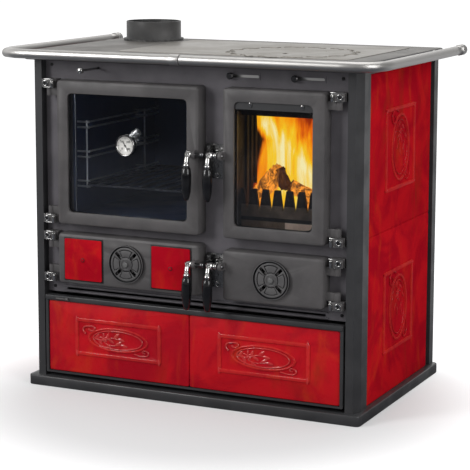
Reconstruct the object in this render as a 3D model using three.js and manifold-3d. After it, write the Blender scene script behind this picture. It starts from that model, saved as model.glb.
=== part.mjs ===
// A wood-burning cast iron range cooker: tiled sides and drawer, oven, firebox, soot and ash doors.
// Millimetres, +Z up. X runs along the front, Y runs back. While the pieces are built, Y = 0 is the
// front face of the corner posts. The finished group is centred on the cooker's footprint.
import * as THREE from 'three';
import { mergeVertices } from 'three/addons/utils/BufferGeometryUtils.js';
import Module from 'manifold-3d';

const wasm = await Module();
wasm.setup();

// ---------------------------------------------------------------- driving sizes
const GAP = 0.3; // clearance between pieces that only rest together
const CORNER_STEPS = 2; // half the facets in a rounded corner
const ROUND_STEPS = 24; // facets round a large turned piece
const PIN_STEPS = 8; // facets round a pin, rod or screw boss
const EYE_CLEARANCE = 0.4; // between a pin and the eye that turns on it

// body
const BODY_WIDTH = 884;
const BODY_DEPTH = 550;
const HOB_HEIGHT = 858;
const PLINTH_HEIGHT = 26;
const PLINTH_SIDE_OVERHANG = 13;
const PLINTH_FRONT_OVERHANG = 15;
const PLINTH_BACK_OVERHANG = 5;
const PLINTH_CORNER = 12;
const POST_WIDTH = 30;
const TOP_THICKNESS = 22;
const HOB_PROUD = 1;
const BODY_HALF = BODY_WIDTH / 2;
const POST_INNER = BODY_HALF - POST_WIDTH;
const PLINTH_HALF = BODY_HALF + PLINTH_SIDE_OVERHANG;
const PLINTH_FRONT = -PLINTH_FRONT_OVERHANG;
const PLINTH_BACK = BODY_DEPTH + PLINTH_BACK_OVERHANG;
const TOP_SURFACE = HOB_HEIGHT - HOB_PROUD;
const TOP_UNDERSIDE = TOP_SURFACE - TOP_THICKNESS;
const POST_CHAMFER_X = 10;
const POST_CHAMFER_Y = 29;
const POST_DEPTH = 44;
const BACK_POST_DEPTH = 26;
const TILE_RECESS = 12;
const SIDE_SHEET = 4;
const SIDE_TILE_FRONT = 67;
const SIDE_TILE_BACK_MARGIN = 44;
const SIDE_TILE_BACK = BODY_DEPTH - SIDE_TILE_BACK_MARGIN;
const SIDE_RECESS_MARGIN = 28;
const SIDE_RECESS_BACK = BODY_DEPTH - SIDE_RECESS_MARGIN;
const SIDE_TILE_TOP_MARGIN = 8;
const SIDE_TILE_TOP = TOP_UNDERSIDE - SIDE_TILE_TOP_MARGIN;
const SIDE_TILE_SEAM = 436;
const TILE_SEAM_WIDTH = 1;
const TILE_BASE = 8;
const TILE_RELIEF = 3;
const TILE_EDGE = 2.5;
const TILE_CORNER = 5;
const SIDE_ORNAMENT_FORWARD = 5;
const BACK_PANEL_INSET = 8;
const BACK_VENT = { width: 8, height: 90, chamfer: 3, pitch: 60, bottom: 90, perSide: 3 };

// top casting and hob
const TOP_EDGE_ROUND = 4;
const HOB_PLATE_THICKNESS = 10;
const HOB_LEFT_MARGIN = 177;
const HOB_LEFT = HOB_LEFT_MARGIN - POST_INNER;
const HOB_RIGHT_MARGIN = 27;
const HOB_RIGHT = POST_INNER - HOB_RIGHT_MARGIN;
const HOB_FRONT = 70;
const HOB_BACK_MARGIN = 50;
const HOB_BACK = BODY_DEPTH - HOB_BACK_MARGIN;
const HOB_LEDGE = 14;
const HOB_CORNER = 14;
const RING_FROM_RIGHT = 210;
const RING_X = HOB_RIGHT - RING_FROM_RIGHT;
const RING_FROM_FRONT = 155;
const RING_Y = HOB_FRONT + RING_FROM_FRONT;
const RING_RADIUS = 145;
const LID_RADIUS = 90;
const RING_LEDGE = 8;
const HOOK_SLOT = { halfWidth: 5, near: 36, far: 60, depth: 4 };
const FLUE_SIDE_MARGIN = 70;
const FLUE_X = FLUE_SIDE_MARGIN - POST_INNER;
const FLUE_BACK_MARGIN = 82;
const FLUE_Y = BODY_DEPTH - FLUE_BACK_MARGIN;
const FLUE_RADIUS = 74;
const FLUE_WALL = 5;
const FLUE_HEIGHT = 52;
const FLUE_FLANGE_RADIUS = 81;
const FLUE_FLANGE_HEIGHT = 6;

// towel rail
const RAIL_SIDE_CLEARANCE = 47;
const RAIL_HALF_WIDTH = PLINTH_HALF + RAIL_SIDE_CLEARANCE;
const RAIL_FRONT_CLEARANCE = 43;
const RAIL_FRONT = PLINTH_FRONT - RAIL_FRONT_CLEARANCE;
const RAIL_BACK_MARGIN = 16;
const RAIL_BACK = BODY_DEPTH - RAIL_BACK_MARGIN;
const RAIL_RADIUS = 12;
const RAIL_BELOW_TOP = 4;
const RAIL_Z = TOP_SURFACE - RAIL_BELOW_TOP;
const RAIL_BEND = 56;
const RAIL_STEPS = 26;
const RAIL_SIDES = 16;
const RAIL_COLLAR_RADIUS = 14.5;
const RAIL_COLLAR_LENGTH = 25;
const RAIL_END_LENGTH = 32;
const RAIL_END_RADIUS = 14;
const RAIL_ARM_RADIUS = 5.5;
const RAIL_ARM_DROP = 6;
const RAIL_ARM_Z = RAIL_Z - RAIL_ARM_DROP;
const RAIL_FOOT_RADIUS = 9.5;
const RAIL_FOOT_THICKNESS = 4;
const RAIL_ARM_FRONT = 40;
const RAIL_ARM_BACK_MARGIN = 80;
const RAIL_SIDE_ARMS = [RAIL_ARM_FRONT, BODY_DEPTH - RAIL_ARM_BACK_MARGIN];
const RAIL_FRONT_ARM = -62;

// doors
const DOOR_FACE = -18;
const DOOR_WALL = 8;
const DOOR_ROUND = 8;
const DOOR_CORNER = 9;
const LEFT_DOOR_MARGIN = 51.5;
const LEFT_DOORS = [LEFT_DOOR_MARGIN - POST_INNER, 35.5];
const RIGHT_DOOR_MARGIN = 50;
const RIGHT_DOORS = [97.7, POST_INNER - RIGHT_DOOR_MARGIN];
const DOOR_TOP_MARGIN = 70;
const UPPER_DOORS = [425.5, HOB_HEIGHT - DOOR_TOP_MARGIN];
const SOOT_DOOR_HEIGHTS = [275.5, 403];
const ASH_DOOR_HEIGHTS = [273.5, 397];
const DOOR_LAP = 22;
const OVEN_WINDOW_MARGIN = [32, 32];
const FIRE_WINDOW_MARGIN = [30.5, 31.5];
const WINDOW_CORNER = 7;
const GLASS_THICKNESS = 4;
const GLASS_LAP = 9;
const CLIP_HEIGHT = 18;
const CLIP_THICKNESS = 3;
const CLIP_SCREW_INSETS = [42, 28];

// front plate
const PLATE_SETBACK = 22;
const PLATE_THICKNESS = 6;
const PLATE_BOTTOM = 243;
const VENT_LEFT_INSET = 2.5;
const VENT_LEFT = LEFT_DOORS[0] + VENT_LEFT_INSET;
const VENT_RIGHT_INSET = 9;
const VENT_RIGHT = RIGHT_DOORS[1] - VENT_RIGHT_INSET;
const VENT_BOTTOM = 250;
const VENT_HEIGHT = 6;

// hinges
const HINGE_SIDE_MARGIN = 23;
const HINGE_X = POST_INNER - HINGE_SIDE_MARGIN;
const HINGE_Y = 4;
const HINGE_PIN_RADIUS = 4;
const HINGE_EYE_RADIUS = 8.5;
const HINGE_EYE_HEIGHT = 20;
const HINGE_BLOCK_WIDTH = 36;
const HINGE_BLOCK_HEIGHT = 21;
const HINGE_BLOCK_FRONT = 10;
const HINGE_ARM_THICKNESS = 10;
const HINGE_SCREW_RADIUS = 5;

// door handles
const HANDLE_SHAFT_Y = -34;
const HANDLE_SHAFT_RADIUS = 4.5;
const UPPER_SHAFT_Z = 626;
const LOWER_SHAFT_Z = 358;
const LEFT_LEVER_X = 18;
const RIGHT_LEVER_X = 74;
const HUB_RADIUS = 9;
const HUB_WIDTH = 14;
const TONGUE_WIDTH = 6;
const TONGUE_HEIGHT = 12;
const TONGUE_REACH = 46;
const LEFT_TONGUE_X = 52;
const RIGHT_TONGUE_X = 87;
const BEARING_WIDTH = 8;
const BEARING_RADIUS = 10;
const BEARING_INSET = 0.5;
const LEVER_FORWARD = 15;
const LEVER_DROP = 28;
const NECK_RADIUS = 6;
const FERRULE_RADIUS = 8;
const FERRULE_LENGTH = 8;
const GRIP_LENGTH = 81;
const GRIP_RADIUS = 12.5;
const GRIP_TIP_RADIUS = 5;
const STRIKE_HEIGHT = 12;
const STRIKE_DEPTH = 15;
const CATCH_THICKNESS = 3;
const CATCH_BELOW = 62;
const CATCH_ABOVE = 22;
const CATCH_SIDE = [14, 7];
const CATCH_SCREW_RADIUS = 5;

// rosettes
const ROSETTE_RADIUS = 47.7;
const ROSETTE_DISC = 4;
const ROSETTE_RING = 7;
const ROSETTE_RISE = 4;
const ROSETTE_BOSS_RADIUS = 10;
const ROSETTE_SLOT_INNER = 21;
const ROSETTE_SLOT_OUTER = 39.5;
const ROSETTE_SLOT_WIDTH = 6;
const ROSETTE_SPINDLE_RADIUS = 4;
const AIR_HOLE_RADIUS = 6;
const PETAL_CENTRE = 26;
const PETAL_LENGTH = 11;
const PETAL_WIDTH = 8;

// thermometer in the oven glass
const DIAL_X = -165.5;
const DIAL_Z = 634;
const DIAL_RADIUS = 26;
const DIAL_DEPTH = 10;
const DIAL_RIM = 3;
const STEM_RADIUS = 4;
const STEM_LENGTH = 46;

// air slides and damper
const SLIDE_SLOT_INSETS = [0.7, 97];
const SLIDE_SLOT_LEFTS = [RIGHT_DOORS[0] - SLIDE_SLOT_INSETS[0], RIGHT_DOORS[1] - SLIDE_SLOT_INSETS[1]];
const SLIDE_SLOT_LENGTH = 79;
const SLIDE_SLOT_HEIGHT = 7;
const SLIDE_BELOW_TOP = 21.5;
const SLIDE_Z = TOP_UNDERSIDE - SLIDE_BELOW_TOP;
const SLIDE_NECK_RADIUS = 3;
const SLIDE_KNOB_RADIUS = 8.5;
const SLIDE_KNOB_LENGTH = 13;
const SLIDE_STRIP_HEIGHT = 19;
const SLIDE_STRIP_THICKNESS = 2;
const DAMPER_FROM_FLUE = 81;
const DAMPER_X = FLUE_X + DAMPER_FROM_FLUE;
const DAMPER_BELOW_TOP = 17.5;
const DAMPER_Z = TOP_UNDERSIDE - DAMPER_BELOW_TOP;
const DAMPER_ROD_RADIUS = 3;
const DAMPER_ROD_FRONT = -59;
const DAMPER_ROD_SHORT = 220;
const DAMPER_ROD_BACK = BODY_DEPTH - DAMPER_ROD_SHORT;
const DAMPER_KNOB_RADIUS = 7;
const DAMPER_KNOB_LENGTH = 13;

// drawer
const DRAWER_SIDE_GAP = 4.5;
const DRAWER_BOTTOM = 36;
const DRAWER_TOP = 238;
const DRAWER_FACE = -3;
const DRAWER_FRAME_DEPTH = 16;
const DRAWER_TILE_SIDE = 7.5;
const DRAWER_TILE_BOTTOM = 41;
const DRAWER_TILE_TOP = 224;
const DRAWER_SHORT = 80;
const DRAWER_BOX_BACK = BODY_DEPTH - DRAWER_SHORT;
const DRAWER_BOX_TOP = 216;
const DRAWER_BOX_INSET = 14;
const DRAWER_SHEET = 2;
const RUNNER_WIDTH = 24;
const RUNNER_INNER = POST_INNER - RUNNER_WIDTH;
const RUNNER_BOTTOM = 48;
const RUNNER_THICKNESS = 5;

// oven, soot box, firebox and ash box
const LINER_SHEET = 3;
const OVEN_SHORT = 80;
const OVEN_BACK = BODY_DEPTH - OVEN_SHORT;
const FIREBOX_SHORT = 220;
const FIREBOX_BACK = BODY_DEPTH - FIREBOX_SHORT;
const FIREBOX_WALL = 8;
const FIREBOX_FLOOR = [440, 448];
const RIB_DEPTH = 6;
const RIB_WIDTH = 11;
const RIB_PITCH = 24;
const GRATE_MARGIN = 30;
const GRATE_FRONT = 90;
const GRATE_BACK_MARGIN = 60;
const GRATE_THICKNESS = 8;
const GRATE_LEDGE = 6;
const GRATE_BARS = 8;
const GRATE_SIDE_RIM = 8;
const GRATE_END_RIM = 14;
const GRATE_CHAMFER = 3;
const GUARD_FRONT = 46;
const GUARD_THICKNESS = 9;
const GUARD_PRONGS = 7;
const GUARD_TIP = 540;
const GUARD_GAP_BOTTOM = 505;
const GUARD_GAP_WIDTH = 15;
const ASH_PAN_HEIGHT = 55;
const ASH_PAN_SIDE = 16;
const ASH_PAN_FRONT = 60;
const ASH_PAN_BACK_MARGIN = 30;
const ASH_PAN_Y = [ASH_PAN_FRONT, FIREBOX_BACK - ASH_PAN_BACK_MARGIN];
const ASH_PAN_SHEET = 2;
const ASH_PULL = { halfWidth: 30, reach: 14, drop: 4, thickness: 4 };
const WIRE_RADIUS = 2.5;
const WIRE_STEPS = 4;
const RACK_SHARES = [0.21, 0.445, 0.68]; // of the oven's height
const RACK_PAIR = 14;
const RACK_FRONT = 46;
const RACK_BACK_MARGIN = 40;
const RACK_Y = [RACK_FRONT, OVEN_BACK - RACK_BACK_MARGIN];
const RACK_STANDOFF = 27;
const RACK_UPRIGHTS = [RACK_FRONT + 4, OVEN_BACK - 114];
const RACK_PEG_END = 9;
const SHELF_GAPS = 8;
const SHELF_BAR = 5;

// ---------------------------------------------------------------- sizes that follow
const SHEET_OUTER = BODY_HALF - TILE_RECESS;
const SHEET_INNER = SHEET_OUTER - SIDE_SHEET;
const PLATE_FRONT = PLATE_SETBACK;
const PLATE_BACK = PLATE_SETBACK + PLATE_THICKNESS;
const DOOR_BACK = PLATE_FRONT - GAP;
const DRAWER_HALF = POST_INNER - DRAWER_SIDE_GAP;
const RUNNER_TOP = RUNNER_BOTTOM + RUNNER_THICKNESS;
const DRAWER_BOX_HALF = POST_INNER - DRAWER_BOX_INSET;
const RAIL_TIP = RAIL_BACK + RAIL_END_LENGTH;
const FOREMOST = RAIL_FRONT - RAIL_COLLAR_RADIUS;
const SLIDE_KNOB_INSET = 7;

const mouth = (doorX, doorZ) => ({
  x: [doorX[0] + DOOR_LAP, doorX[1] - DOOR_LAP],
  z: [doorZ[0] + DOOR_LAP, doorZ[1] - DOOR_LAP],
});
const OVEN_MOUTH = mouth(LEFT_DOORS, UPPER_DOORS);
const FIRE_MOUTH = mouth(RIGHT_DOORS, UPPER_DOORS);
const SOOT_MOUTH = mouth(LEFT_DOORS, SOOT_DOOR_HEIGHTS);
const ASH_MOUTH = mouth(RIGHT_DOORS, ASH_DOOR_HEIGHTS);
const RACK_LEVELS = RACK_SHARES.map((share) => (
  OVEN_MOUTH.z[0] + share * (OVEN_MOUTH.z[1] - OVEN_MOUTH.z[0])
));
const GRATE_X = [FIRE_MOUTH.x[0] + GRATE_MARGIN, FIRE_MOUTH.x[1] - GRATE_MARGIN];
const GRATE_Y = [GRATE_FRONT, FIREBOX_BACK - GRATE_BACK_MARGIN];

const material = (color, roughness, metalness) => new THREE.MeshStandardMaterial({
  color, roughness, metalness,
});
const iron = material(0x4b4b4e, 0.6, 0.5);
const steel = material(0xa9a39a, 0.35, 0.9);
const chrome = material(0xd8d6d2, 0.15, 1);
const enamel = material(0xb3141c, 0.2, 0);
const black = material(0x141416, 0.35, 0);
const glassy = material(0x20242c, 0.05, 0);
const liner = material(0x2b2d33, 0.45, 0.4);
const dialFace = material(0xe8e6e0, 0.4, 0.1);

// ---------------------------------------------------------------- shape helpers
// A welded copy of a geometry, without flat triangles and with its faces pointing out.
function welded(geometry) {
  const bare = new THREE.BufferGeometry();
  bare.setAttribute('position', geometry.attributes.position.clone());
  bare.setIndex(geometry.index ? geometry.index.clone() : null);
  const merged = mergeVertices(bare, 1e-4);
  const corners = merged.index.array;
  const point = (i) => new THREE.Vector3().fromBufferAttribute(merged.attributes.position, i);
  const kept = [];
  let volume = 0;
  for (let i = 0; i < corners.length; i += 3) {
    const [a, b, c] = [corners[i], corners[i + 1], corners[i + 2]];
    if (a === b || b === c || c === a) continue;
    kept.push(a, b, c);
    volume += point(a).dot(point(b).cross(point(c)));
  }
  if (volume < 0) kept.reverse();
  merged.setIndex(kept);
  return merged;
}

function solid(geometry) {
  const mesh = welded(geometry);
  return new wasm.Manifold(new wasm.Mesh({
    numProp: 3,
    vertProperties: new Float32Array(mesh.attributes.position.array),
    triVerts: new Uint32Array(mesh.index.array),
  }));
}

function surface(manifold) {
  const mesh = manifold.getMesh();
  const geometry = new THREE.BufferGeometry();
  geometry.setAttribute('position', new THREE.BufferAttribute(new Float32Array(mesh.vertProperties), 3));
  geometry.setIndex(Array.from(mesh.triVerts));
  geometry.computeVertexNormals();
  return geometry;
}

const join = (...pieces) => surface(pieces.map(solid).reduce((sum, piece) => sum.add(piece)));
const cut = (piece, ...tools) => surface(
  tools.map(solid).reduce((rest, tool) => rest.subtract(tool), solid(piece)),
);

function block(x, y, z) {
  const geometry = new THREE.BoxGeometry(x[1] - x[0], y[1] - y[0], z[1] - z[0]);
  return geometry.translate((x[0] + x[1]) / 2, (y[0] + y[1]) / 2, (z[0] + z[1]) / 2);
}

// Round bars along each axis. The span runs along the axis, at holds the other two coordinates.
function barX(radius, span, y, z, steps = PIN_STEPS) {
  const geometry = new THREE.CylinderGeometry(radius, radius, span[1] - span[0], steps);
  return geometry.rotateZ(-Math.PI / 2).translate((span[0] + span[1]) / 2, y, z);
}

function barY(radius, span, x, z, steps = PIN_STEPS) {
  const geometry = new THREE.CylinderGeometry(radius, radius, span[1] - span[0], steps);
  return geometry.translate(x, (span[0] + span[1]) / 2, z);
}

function barZ(radius, span, x, y, steps = PIN_STEPS) {
  const geometry = new THREE.CylinderGeometry(radius, radius, span[1] - span[0], steps);
  return geometry.rotateX(Math.PI / 2).translate(x, y, (span[0] + span[1]) / 2);
}

// A turned piece: the profile holds [radius, distance along the axis] pairs.
function turned(profile, steps = ROUND_STEPS) {
  return new THREE.LatheGeometry(profile.map(([r, d]) => new THREE.Vector2(r, d)), steps);
}

function roundedOutline(target, x, z, radius) {
  target.moveTo(x[0] + radius, z[0]);
  target.absarc(x[1] - radius, z[0] + radius, radius, -Math.PI / 2, 0, false);
  target.absarc(x[1] - radius, z[1] - radius, radius, 0, Math.PI / 2, false);
  target.absarc(x[0] + radius, z[1] - radius, radius, Math.PI / 2, Math.PI, false);
  target.absarc(x[0] + radius, z[0] + radius, radius, Math.PI, 1.5 * Math.PI, false);
  return target;
}

const roundedShape = (x, z, radius) => roundedOutline(new THREE.Shape(), x, z, radius);
const roundedHole = (x, z, radius) => roundedOutline(new THREE.Path(), x, z, radius);

// A hole with flat ends cut at 45 degrees, and a round one that clears a circle of the given radius.
function slotHole(x, z, chamfer) {
  return new THREE.Path([
    [x[0] + chamfer, z[0]], [x[1] - chamfer, z[0]], [x[1], z[0] + chamfer], [x[1], z[1] - chamfer],
    [x[1] - chamfer, z[1]], [x[0] + chamfer, z[1]], [x[0], z[1] - chamfer], [x[0], z[0] + chamfer],
  ].map(([a, b]) => new THREE.Vector2(a, b)));
}

function roundHole(x, z, radius, steps = PIN_STEPS) {
  const corners = [];
  for (let i = 0; i < steps; i += 1) {
    const angle = (2 * Math.PI * i) / steps;
    const reach = radius / Math.cos(Math.PI / steps);
    corners.push(new THREE.Vector2(x + reach * Math.cos(angle), z + reach * Math.sin(angle)));
  }
  return new THREE.Path(corners);
}

// Extrudes an outline drawn in X and Z so that it fills Y from front to back.
function upright(shape, front, back, curveSegments = CORNER_STEPS) {
  const geometry = new THREE.ExtrudeGeometry(shape, {
    depth: back - front, bevelEnabled: false, curveSegments,
  });
  return geometry.rotateX(Math.PI / 2).translate(0, back, 0);
}

// Extrudes an outline drawn in X and Y so that it fills Z from bottom to top.
function flat(shape, bottom, top, curveSegments = CORNER_STEPS) {
  const geometry = new THREE.ExtrudeGeometry(shape, {
    depth: top - bottom, bevelEnabled: false, curveSegments,
  });
  return geometry.translate(0, 0, bottom);
}

function outline(points) {
  return new THREE.Shape(points.map(([x, y]) => new THREE.Vector2(x, y)));
}

function mirrored(geometry) {
  return welded(geometry.clone().scale(-1, 1, 1));
}

const model = new THREE.Group();

function piece(name, geometry, look) {
  const mesh = new THREE.Mesh(welded(geometry), look);
  mesh.name = name;
  model.add(mesh);
  return mesh;
}

// ---------------------------------------------------------------- body
function makePlinth() {
  const shape = roundedShape([-PLINTH_HALF, PLINTH_HALF], [PLINTH_FRONT, PLINTH_BACK], PLINTH_CORNER);
  piece('plinth', flat(shape, 0, PLINTH_HEIGHT), iron);
}

// One side wall as a folded section: front post, sheet behind the tiles, back post.
function sideFrame() {
  const section = outline([
    [POST_INNER, 0],
    [BODY_HALF - POST_CHAMFER_X, 0],
    [BODY_HALF, POST_CHAMFER_Y],
    [BODY_HALF, SIDE_TILE_FRONT - GAP],
    [SHEET_OUTER, SIDE_TILE_FRONT - GAP],
    [SHEET_OUTER, SIDE_RECESS_BACK],
    [BODY_HALF, SIDE_RECESS_BACK],
    [BODY_HALF, BODY_DEPTH],
    [POST_INNER, BODY_DEPTH],
    [POST_INNER, BODY_DEPTH - BACK_POST_DEPTH],
    [SHEET_INNER, BODY_DEPTH - BACK_POST_DEPTH],
    [SHEET_INNER, POST_DEPTH],
    [POST_INNER, POST_DEPTH],
  ]);
  const wall = flat(section, PLINTH_HEIGHT, TOP_UNDERSIDE);
  const betweenPosts = [POST_DEPTH - 1, BODY_DEPTH - BACK_POST_DEPTH + 1];
  const head = block(
    [SHEET_OUTER - 1, BODY_HALF],
    [SIDE_TILE_FRONT - 1, SIDE_RECESS_BACK + 1],
    [SIDE_TILE_TOP + GAP, TOP_UNDERSIDE],
  );
  const runner = block([RUNNER_INNER, SHEET_INNER + 1], betweenPosts, [RUNNER_BOTTOM, RUNNER_TOP]);
  return join(wall, head, runner);
}

function makeSideFrames() {
  const right = sideFrame();
  piece('side_frame_right', right, iron);
  piece('side_frame_left', mirrored(right), iron);
}

// A raised band along an outline: the outline less the same outline drawn smaller.
function band(outer, inner, bottom, top, steps) {
  outer.holes.push(inner);
  return flat(outer, bottom, top, steps);
}

function ellipseBand(rx, ry, width, bottom, top, steps = 10) {
  const outer = new THREE.Shape();
  outer.absellipse(0, 0, rx, ry, 0, 2 * Math.PI, false, 0);
  const inner = new THREE.Path();
  inner.absellipse(0, 0, rx - width, ry - width, 0, 2 * Math.PI, true, 0);
  return band(outer, inner, bottom, top, steps);
}

// A glazed tile lying on Z = 0 with its face up: soft edges, a moulded frame and an oval.
function reliefTile(width, height, frame, frameX = 0, frameY = 0) {
  const plain = new THREE.ExtrudeGeometry(
    roundedShape([-width / 2, width / 2], [-height / 2, height / 2], TILE_CORNER),
    {
      depth: TILE_BASE - TILE_EDGE,
      bevelEnabled: true,
      bevelThickness: TILE_EDGE,
      bevelSize: TILE_EDGE,
      bevelOffset: -TILE_EDGE,
      bevelSegments: 2,
      curveSegments: 1,
    },
  );
  const below = block([-width, width], [-height, height], [-2 * TILE_EDGE, 0]);
  const [w, h] = [frame.width / 2, frame.height / 2];
  const inner = frame.band;
  const base = TILE_BASE - 1;
  const top = TILE_BASE + TILE_RELIEF;
  const moulding = band(
    roundedShape([-w, w], [-h, h], frame.corner),
    roundedHole([inner - w, w - inner], [inner - h, h - inner], frame.corner / 2),
    base,
    top,
    1,
  );
  const oval = ellipseBand(frame.ovalX, frame.ovalY, frame.ovalBand, base, top);
  const ornaments = [moulding, oval].map((part) => part.translate(frameX, frameY, 0));
  return join(cut(plain, below), ...ornaments);
}

const SIDE_ORNAMENT = { width: 204, height: 204, band: 9, corner: 5, ovalX: 62, ovalY: 84, ovalBand: 6 };
const SOOT_TILE = { width: 105, height: 104, margin: 22.5, depth: 4 };
const DRAWER_ORNAMENT = { width: 244, height: 96, band: 9, corner: 5, ovalX: 86, ovalY: 31, ovalBand: 5 };

const FACING = {
  right: [[0, 1, 0], [0, 0, 1], [1, 0, 0]],
  left: [[0, -1, 0], [0, 0, 1], [-1, 0, 0]],
  front: [[1, 0, 0], [0, 0, 1], [0, -1, 0]],
};

function face(mesh, side) {
  const [x, y, z] = FACING[side].map((v) => new THREE.Vector3(...v));
  mesh.quaternion.setFromRotationMatrix(new THREE.Matrix4().makeBasis(x, y, z));
  return mesh;
}

function makeSideTiles() {
  const width = SIDE_TILE_BACK - SIDE_TILE_FRONT - 2 * GAP;
  const rows = {
    lower: [PLINTH_HEIGHT + GAP, SIDE_TILE_SEAM - TILE_SEAM_WIDTH / 2],
    upper: [SIDE_TILE_SEAM + TILE_SEAM_WIDTH / 2, SIDE_TILE_TOP],
  };
  for (const side of ['left', 'right']) {
    for (const [row, z] of Object.entries(rows)) {
      const sign = side === 'right' ? 1 : -1;
      const relief = reliefTile(width, z[1] - z[0], SIDE_ORNAMENT, -sign * SIDE_ORNAMENT_FORWARD);
      const tile = piece(`side_tile_${side}_${row}`, relief, enamel);
      face(tile, side).position.set(
        sign * (SHEET_OUTER + GAP),
        (SIDE_TILE_FRONT + SIDE_TILE_BACK) / 2,
        (z[0] + z[1]) / 2,
      );
    }
  }
}

function makeFrontPlate() {
  const shape = roundedShape([GAP - POST_INNER, POST_INNER - GAP], [PLATE_BOTTOM, TOP_UNDERSIDE], 1);
  for (const hole of [OVEN_MOUTH, FIRE_MOUTH, SOOT_MOUTH, ASH_MOUTH]) {
    shape.holes.push(slotHole(hole.x, hole.z, WINDOW_CORNER));
  }
  shape.holes.push(slotHole([VENT_LEFT, VENT_RIGHT], [VENT_BOTTOM, VENT_BOTTOM + VENT_HEIGHT], 2));
  for (const left of SLIDE_SLOT_LEFTS) {
    shape.holes.push(slotHole(
      [left, left + SLIDE_SLOT_LENGTH],
      [SLIDE_Z - SLIDE_SLOT_HEIGHT / 2, SLIDE_Z + SLIDE_SLOT_HEIGHT / 2],
      2,
    ));
  }
  shape.holes.push(roundHole(DAMPER_X, DAMPER_Z, DAMPER_ROD_RADIUS + EYE_CLEARANCE));
  piece('front_plate', upright(shape, PLATE_FRONT, PLATE_BACK), iron);
}

function makeBackPanel() {
  const shape = roundedShape([GAP - POST_INNER, POST_INNER - GAP], [PLINTH_HEIGHT, TOP_UNDERSIDE], 1);
  const { width, height, chamfer, pitch, bottom, perSide } = BACK_VENT;
  for (let i = -perSide; i <= perSide; i += 1) {
    const x = i * pitch;
    shape.holes.push(slotHole([x - width / 2, x + width / 2], [bottom, bottom + height], chamfer));
  }
  const back = BODY_DEPTH - BACK_PANEL_INSET;
  piece('back_panel', upright(shape, back - LINER_SHEET, back, 1), iron);
}

// ---------------------------------------------------------------- top
function makeTopCasting() {
  const shape = roundedShape([-PLINTH_HALF, PLINTH_HALF], [PLINTH_FRONT, PLINTH_BACK], PLINTH_CORNER);
  const slab = new THREE.ExtrudeGeometry(shape, {
    depth: TOP_THICKNESS - TOP_EDGE_ROUND,
    bevelEnabled: true,
    bevelThickness: TOP_EDGE_ROUND,
    bevelSize: TOP_EDGE_ROUND,
    bevelOffset: -TOP_EDGE_ROUND,
    bevelSegments: 2,
    curveSegments: CORNER_STEPS,
  }).translate(0, 0, TOP_UNDERSIDE);
  const below = block(
    [-2 * PLINTH_HALF, 2 * PLINTH_HALF],
    [-2 * BODY_DEPTH, 2 * BODY_DEPTH],
    [TOP_UNDERSIDE - 2 * TOP_EDGE_ROUND, TOP_UNDERSIDE],
  );
  const ledge = HOB_HEIGHT - HOB_PLATE_THICKNESS;
  const pocket = flat(
    roundedShape([HOB_LEFT, HOB_RIGHT], [HOB_FRONT, HOB_BACK], HOB_CORNER),
    ledge, TOP_SURFACE + 1,
  );
  const well = flat(
    roundedShape(
      [HOB_LEFT + HOB_LEDGE, HOB_RIGHT - HOB_LEDGE],
      [HOB_FRONT + HOB_LEDGE, HOB_BACK - HOB_LEDGE],
      HOB_CORNER,
    ),
    TOP_UNDERSIDE - 1, ledge + 1,
  );
  const flue = barZ(
    FLUE_RADIUS - FLUE_WALL, [TOP_UNDERSIDE - 1, TOP_SURFACE + 1], FLUE_X, FLUE_Y, ROUND_STEPS,
  );
  piece('top_casting', cut(slab, below, pocket, well, flue), iron);
}

function makeHob() {
  const bottom = HOB_HEIGHT - HOB_PLATE_THICKNESS;
  const middle = HOB_HEIGHT - HOB_PLATE_THICKNESS / 2;
  const plate = flat(
    roundedShape(
      [HOB_LEFT + GAP, HOB_RIGHT - GAP], [HOB_FRONT + GAP, HOB_BACK - GAP], HOB_CORNER,
    ),
    bottom, HOB_HEIGHT,
  );
  const seat = barZ(RING_RADIUS, [middle, HOB_HEIGHT + 1], RING_X, RING_Y, ROUND_STEPS);
  const well = barZ(RING_RADIUS - RING_LEDGE, [bottom - 1, middle + 1], RING_X, RING_Y, ROUND_STEPS);
  piece('hob_plate', cut(plate, seat, well), steel);
  const ringOut = RING_RADIUS - GAP;
  const lidSeat = LID_RADIUS - RING_LEDGE;
  const ring = turned([
    [lidSeat, bottom],
    [RING_RADIUS - RING_LEDGE - GAP, bottom],
    [RING_RADIUS - RING_LEDGE - GAP, middle],
    [ringOut, middle],
    [ringOut, HOB_HEIGHT],
    [LID_RADIUS, HOB_HEIGHT],
    [LID_RADIUS, middle],
    [lidSeat, middle],
    [lidSeat, bottom],
  ]).rotateX(Math.PI / 2).translate(RING_X, RING_Y, 0);
  piece('hob_ring', ring, steel);
  const lid = turned([
    [0, bottom],
    [lidSeat - GAP, bottom],
    [lidSeat - GAP, middle],
    [LID_RADIUS - GAP, middle],
    [LID_RADIUS - GAP, HOB_HEIGHT],
    [0, HOB_HEIGHT],
  ]).rotateX(Math.PI / 2).translate(RING_X, RING_Y, 0);
  const hookSlot = block(
    [RING_X - HOOK_SLOT.halfWidth, RING_X + HOOK_SLOT.halfWidth],
    [RING_Y - HOOK_SLOT.far, RING_Y - HOOK_SLOT.near],
    [HOB_HEIGHT - HOOK_SLOT.depth, HOB_HEIGHT + 1],
  );
  piece('hob_lid', cut(lid, hookSlot), steel);
}

function makeFlueCollar() {
  const inner = FLUE_RADIUS - FLUE_WALL;
  const collar = turned([
    [inner, 0],
    [FLUE_FLANGE_RADIUS, 0],
    [FLUE_FLANGE_RADIUS, FLUE_FLANGE_HEIGHT],
    [FLUE_RADIUS, FLUE_FLANGE_HEIGHT],
    [FLUE_RADIUS, FLUE_HEIGHT - 1],
    [FLUE_RADIUS - 1, FLUE_HEIGHT],
    [inner, FLUE_HEIGHT],
    [inner, 0],
  ], 30);
  piece('flue_collar', collar.rotateX(Math.PI / 2), iron).position.set(FLUE_X, FLUE_Y, TOP_SURFACE);
}

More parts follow.
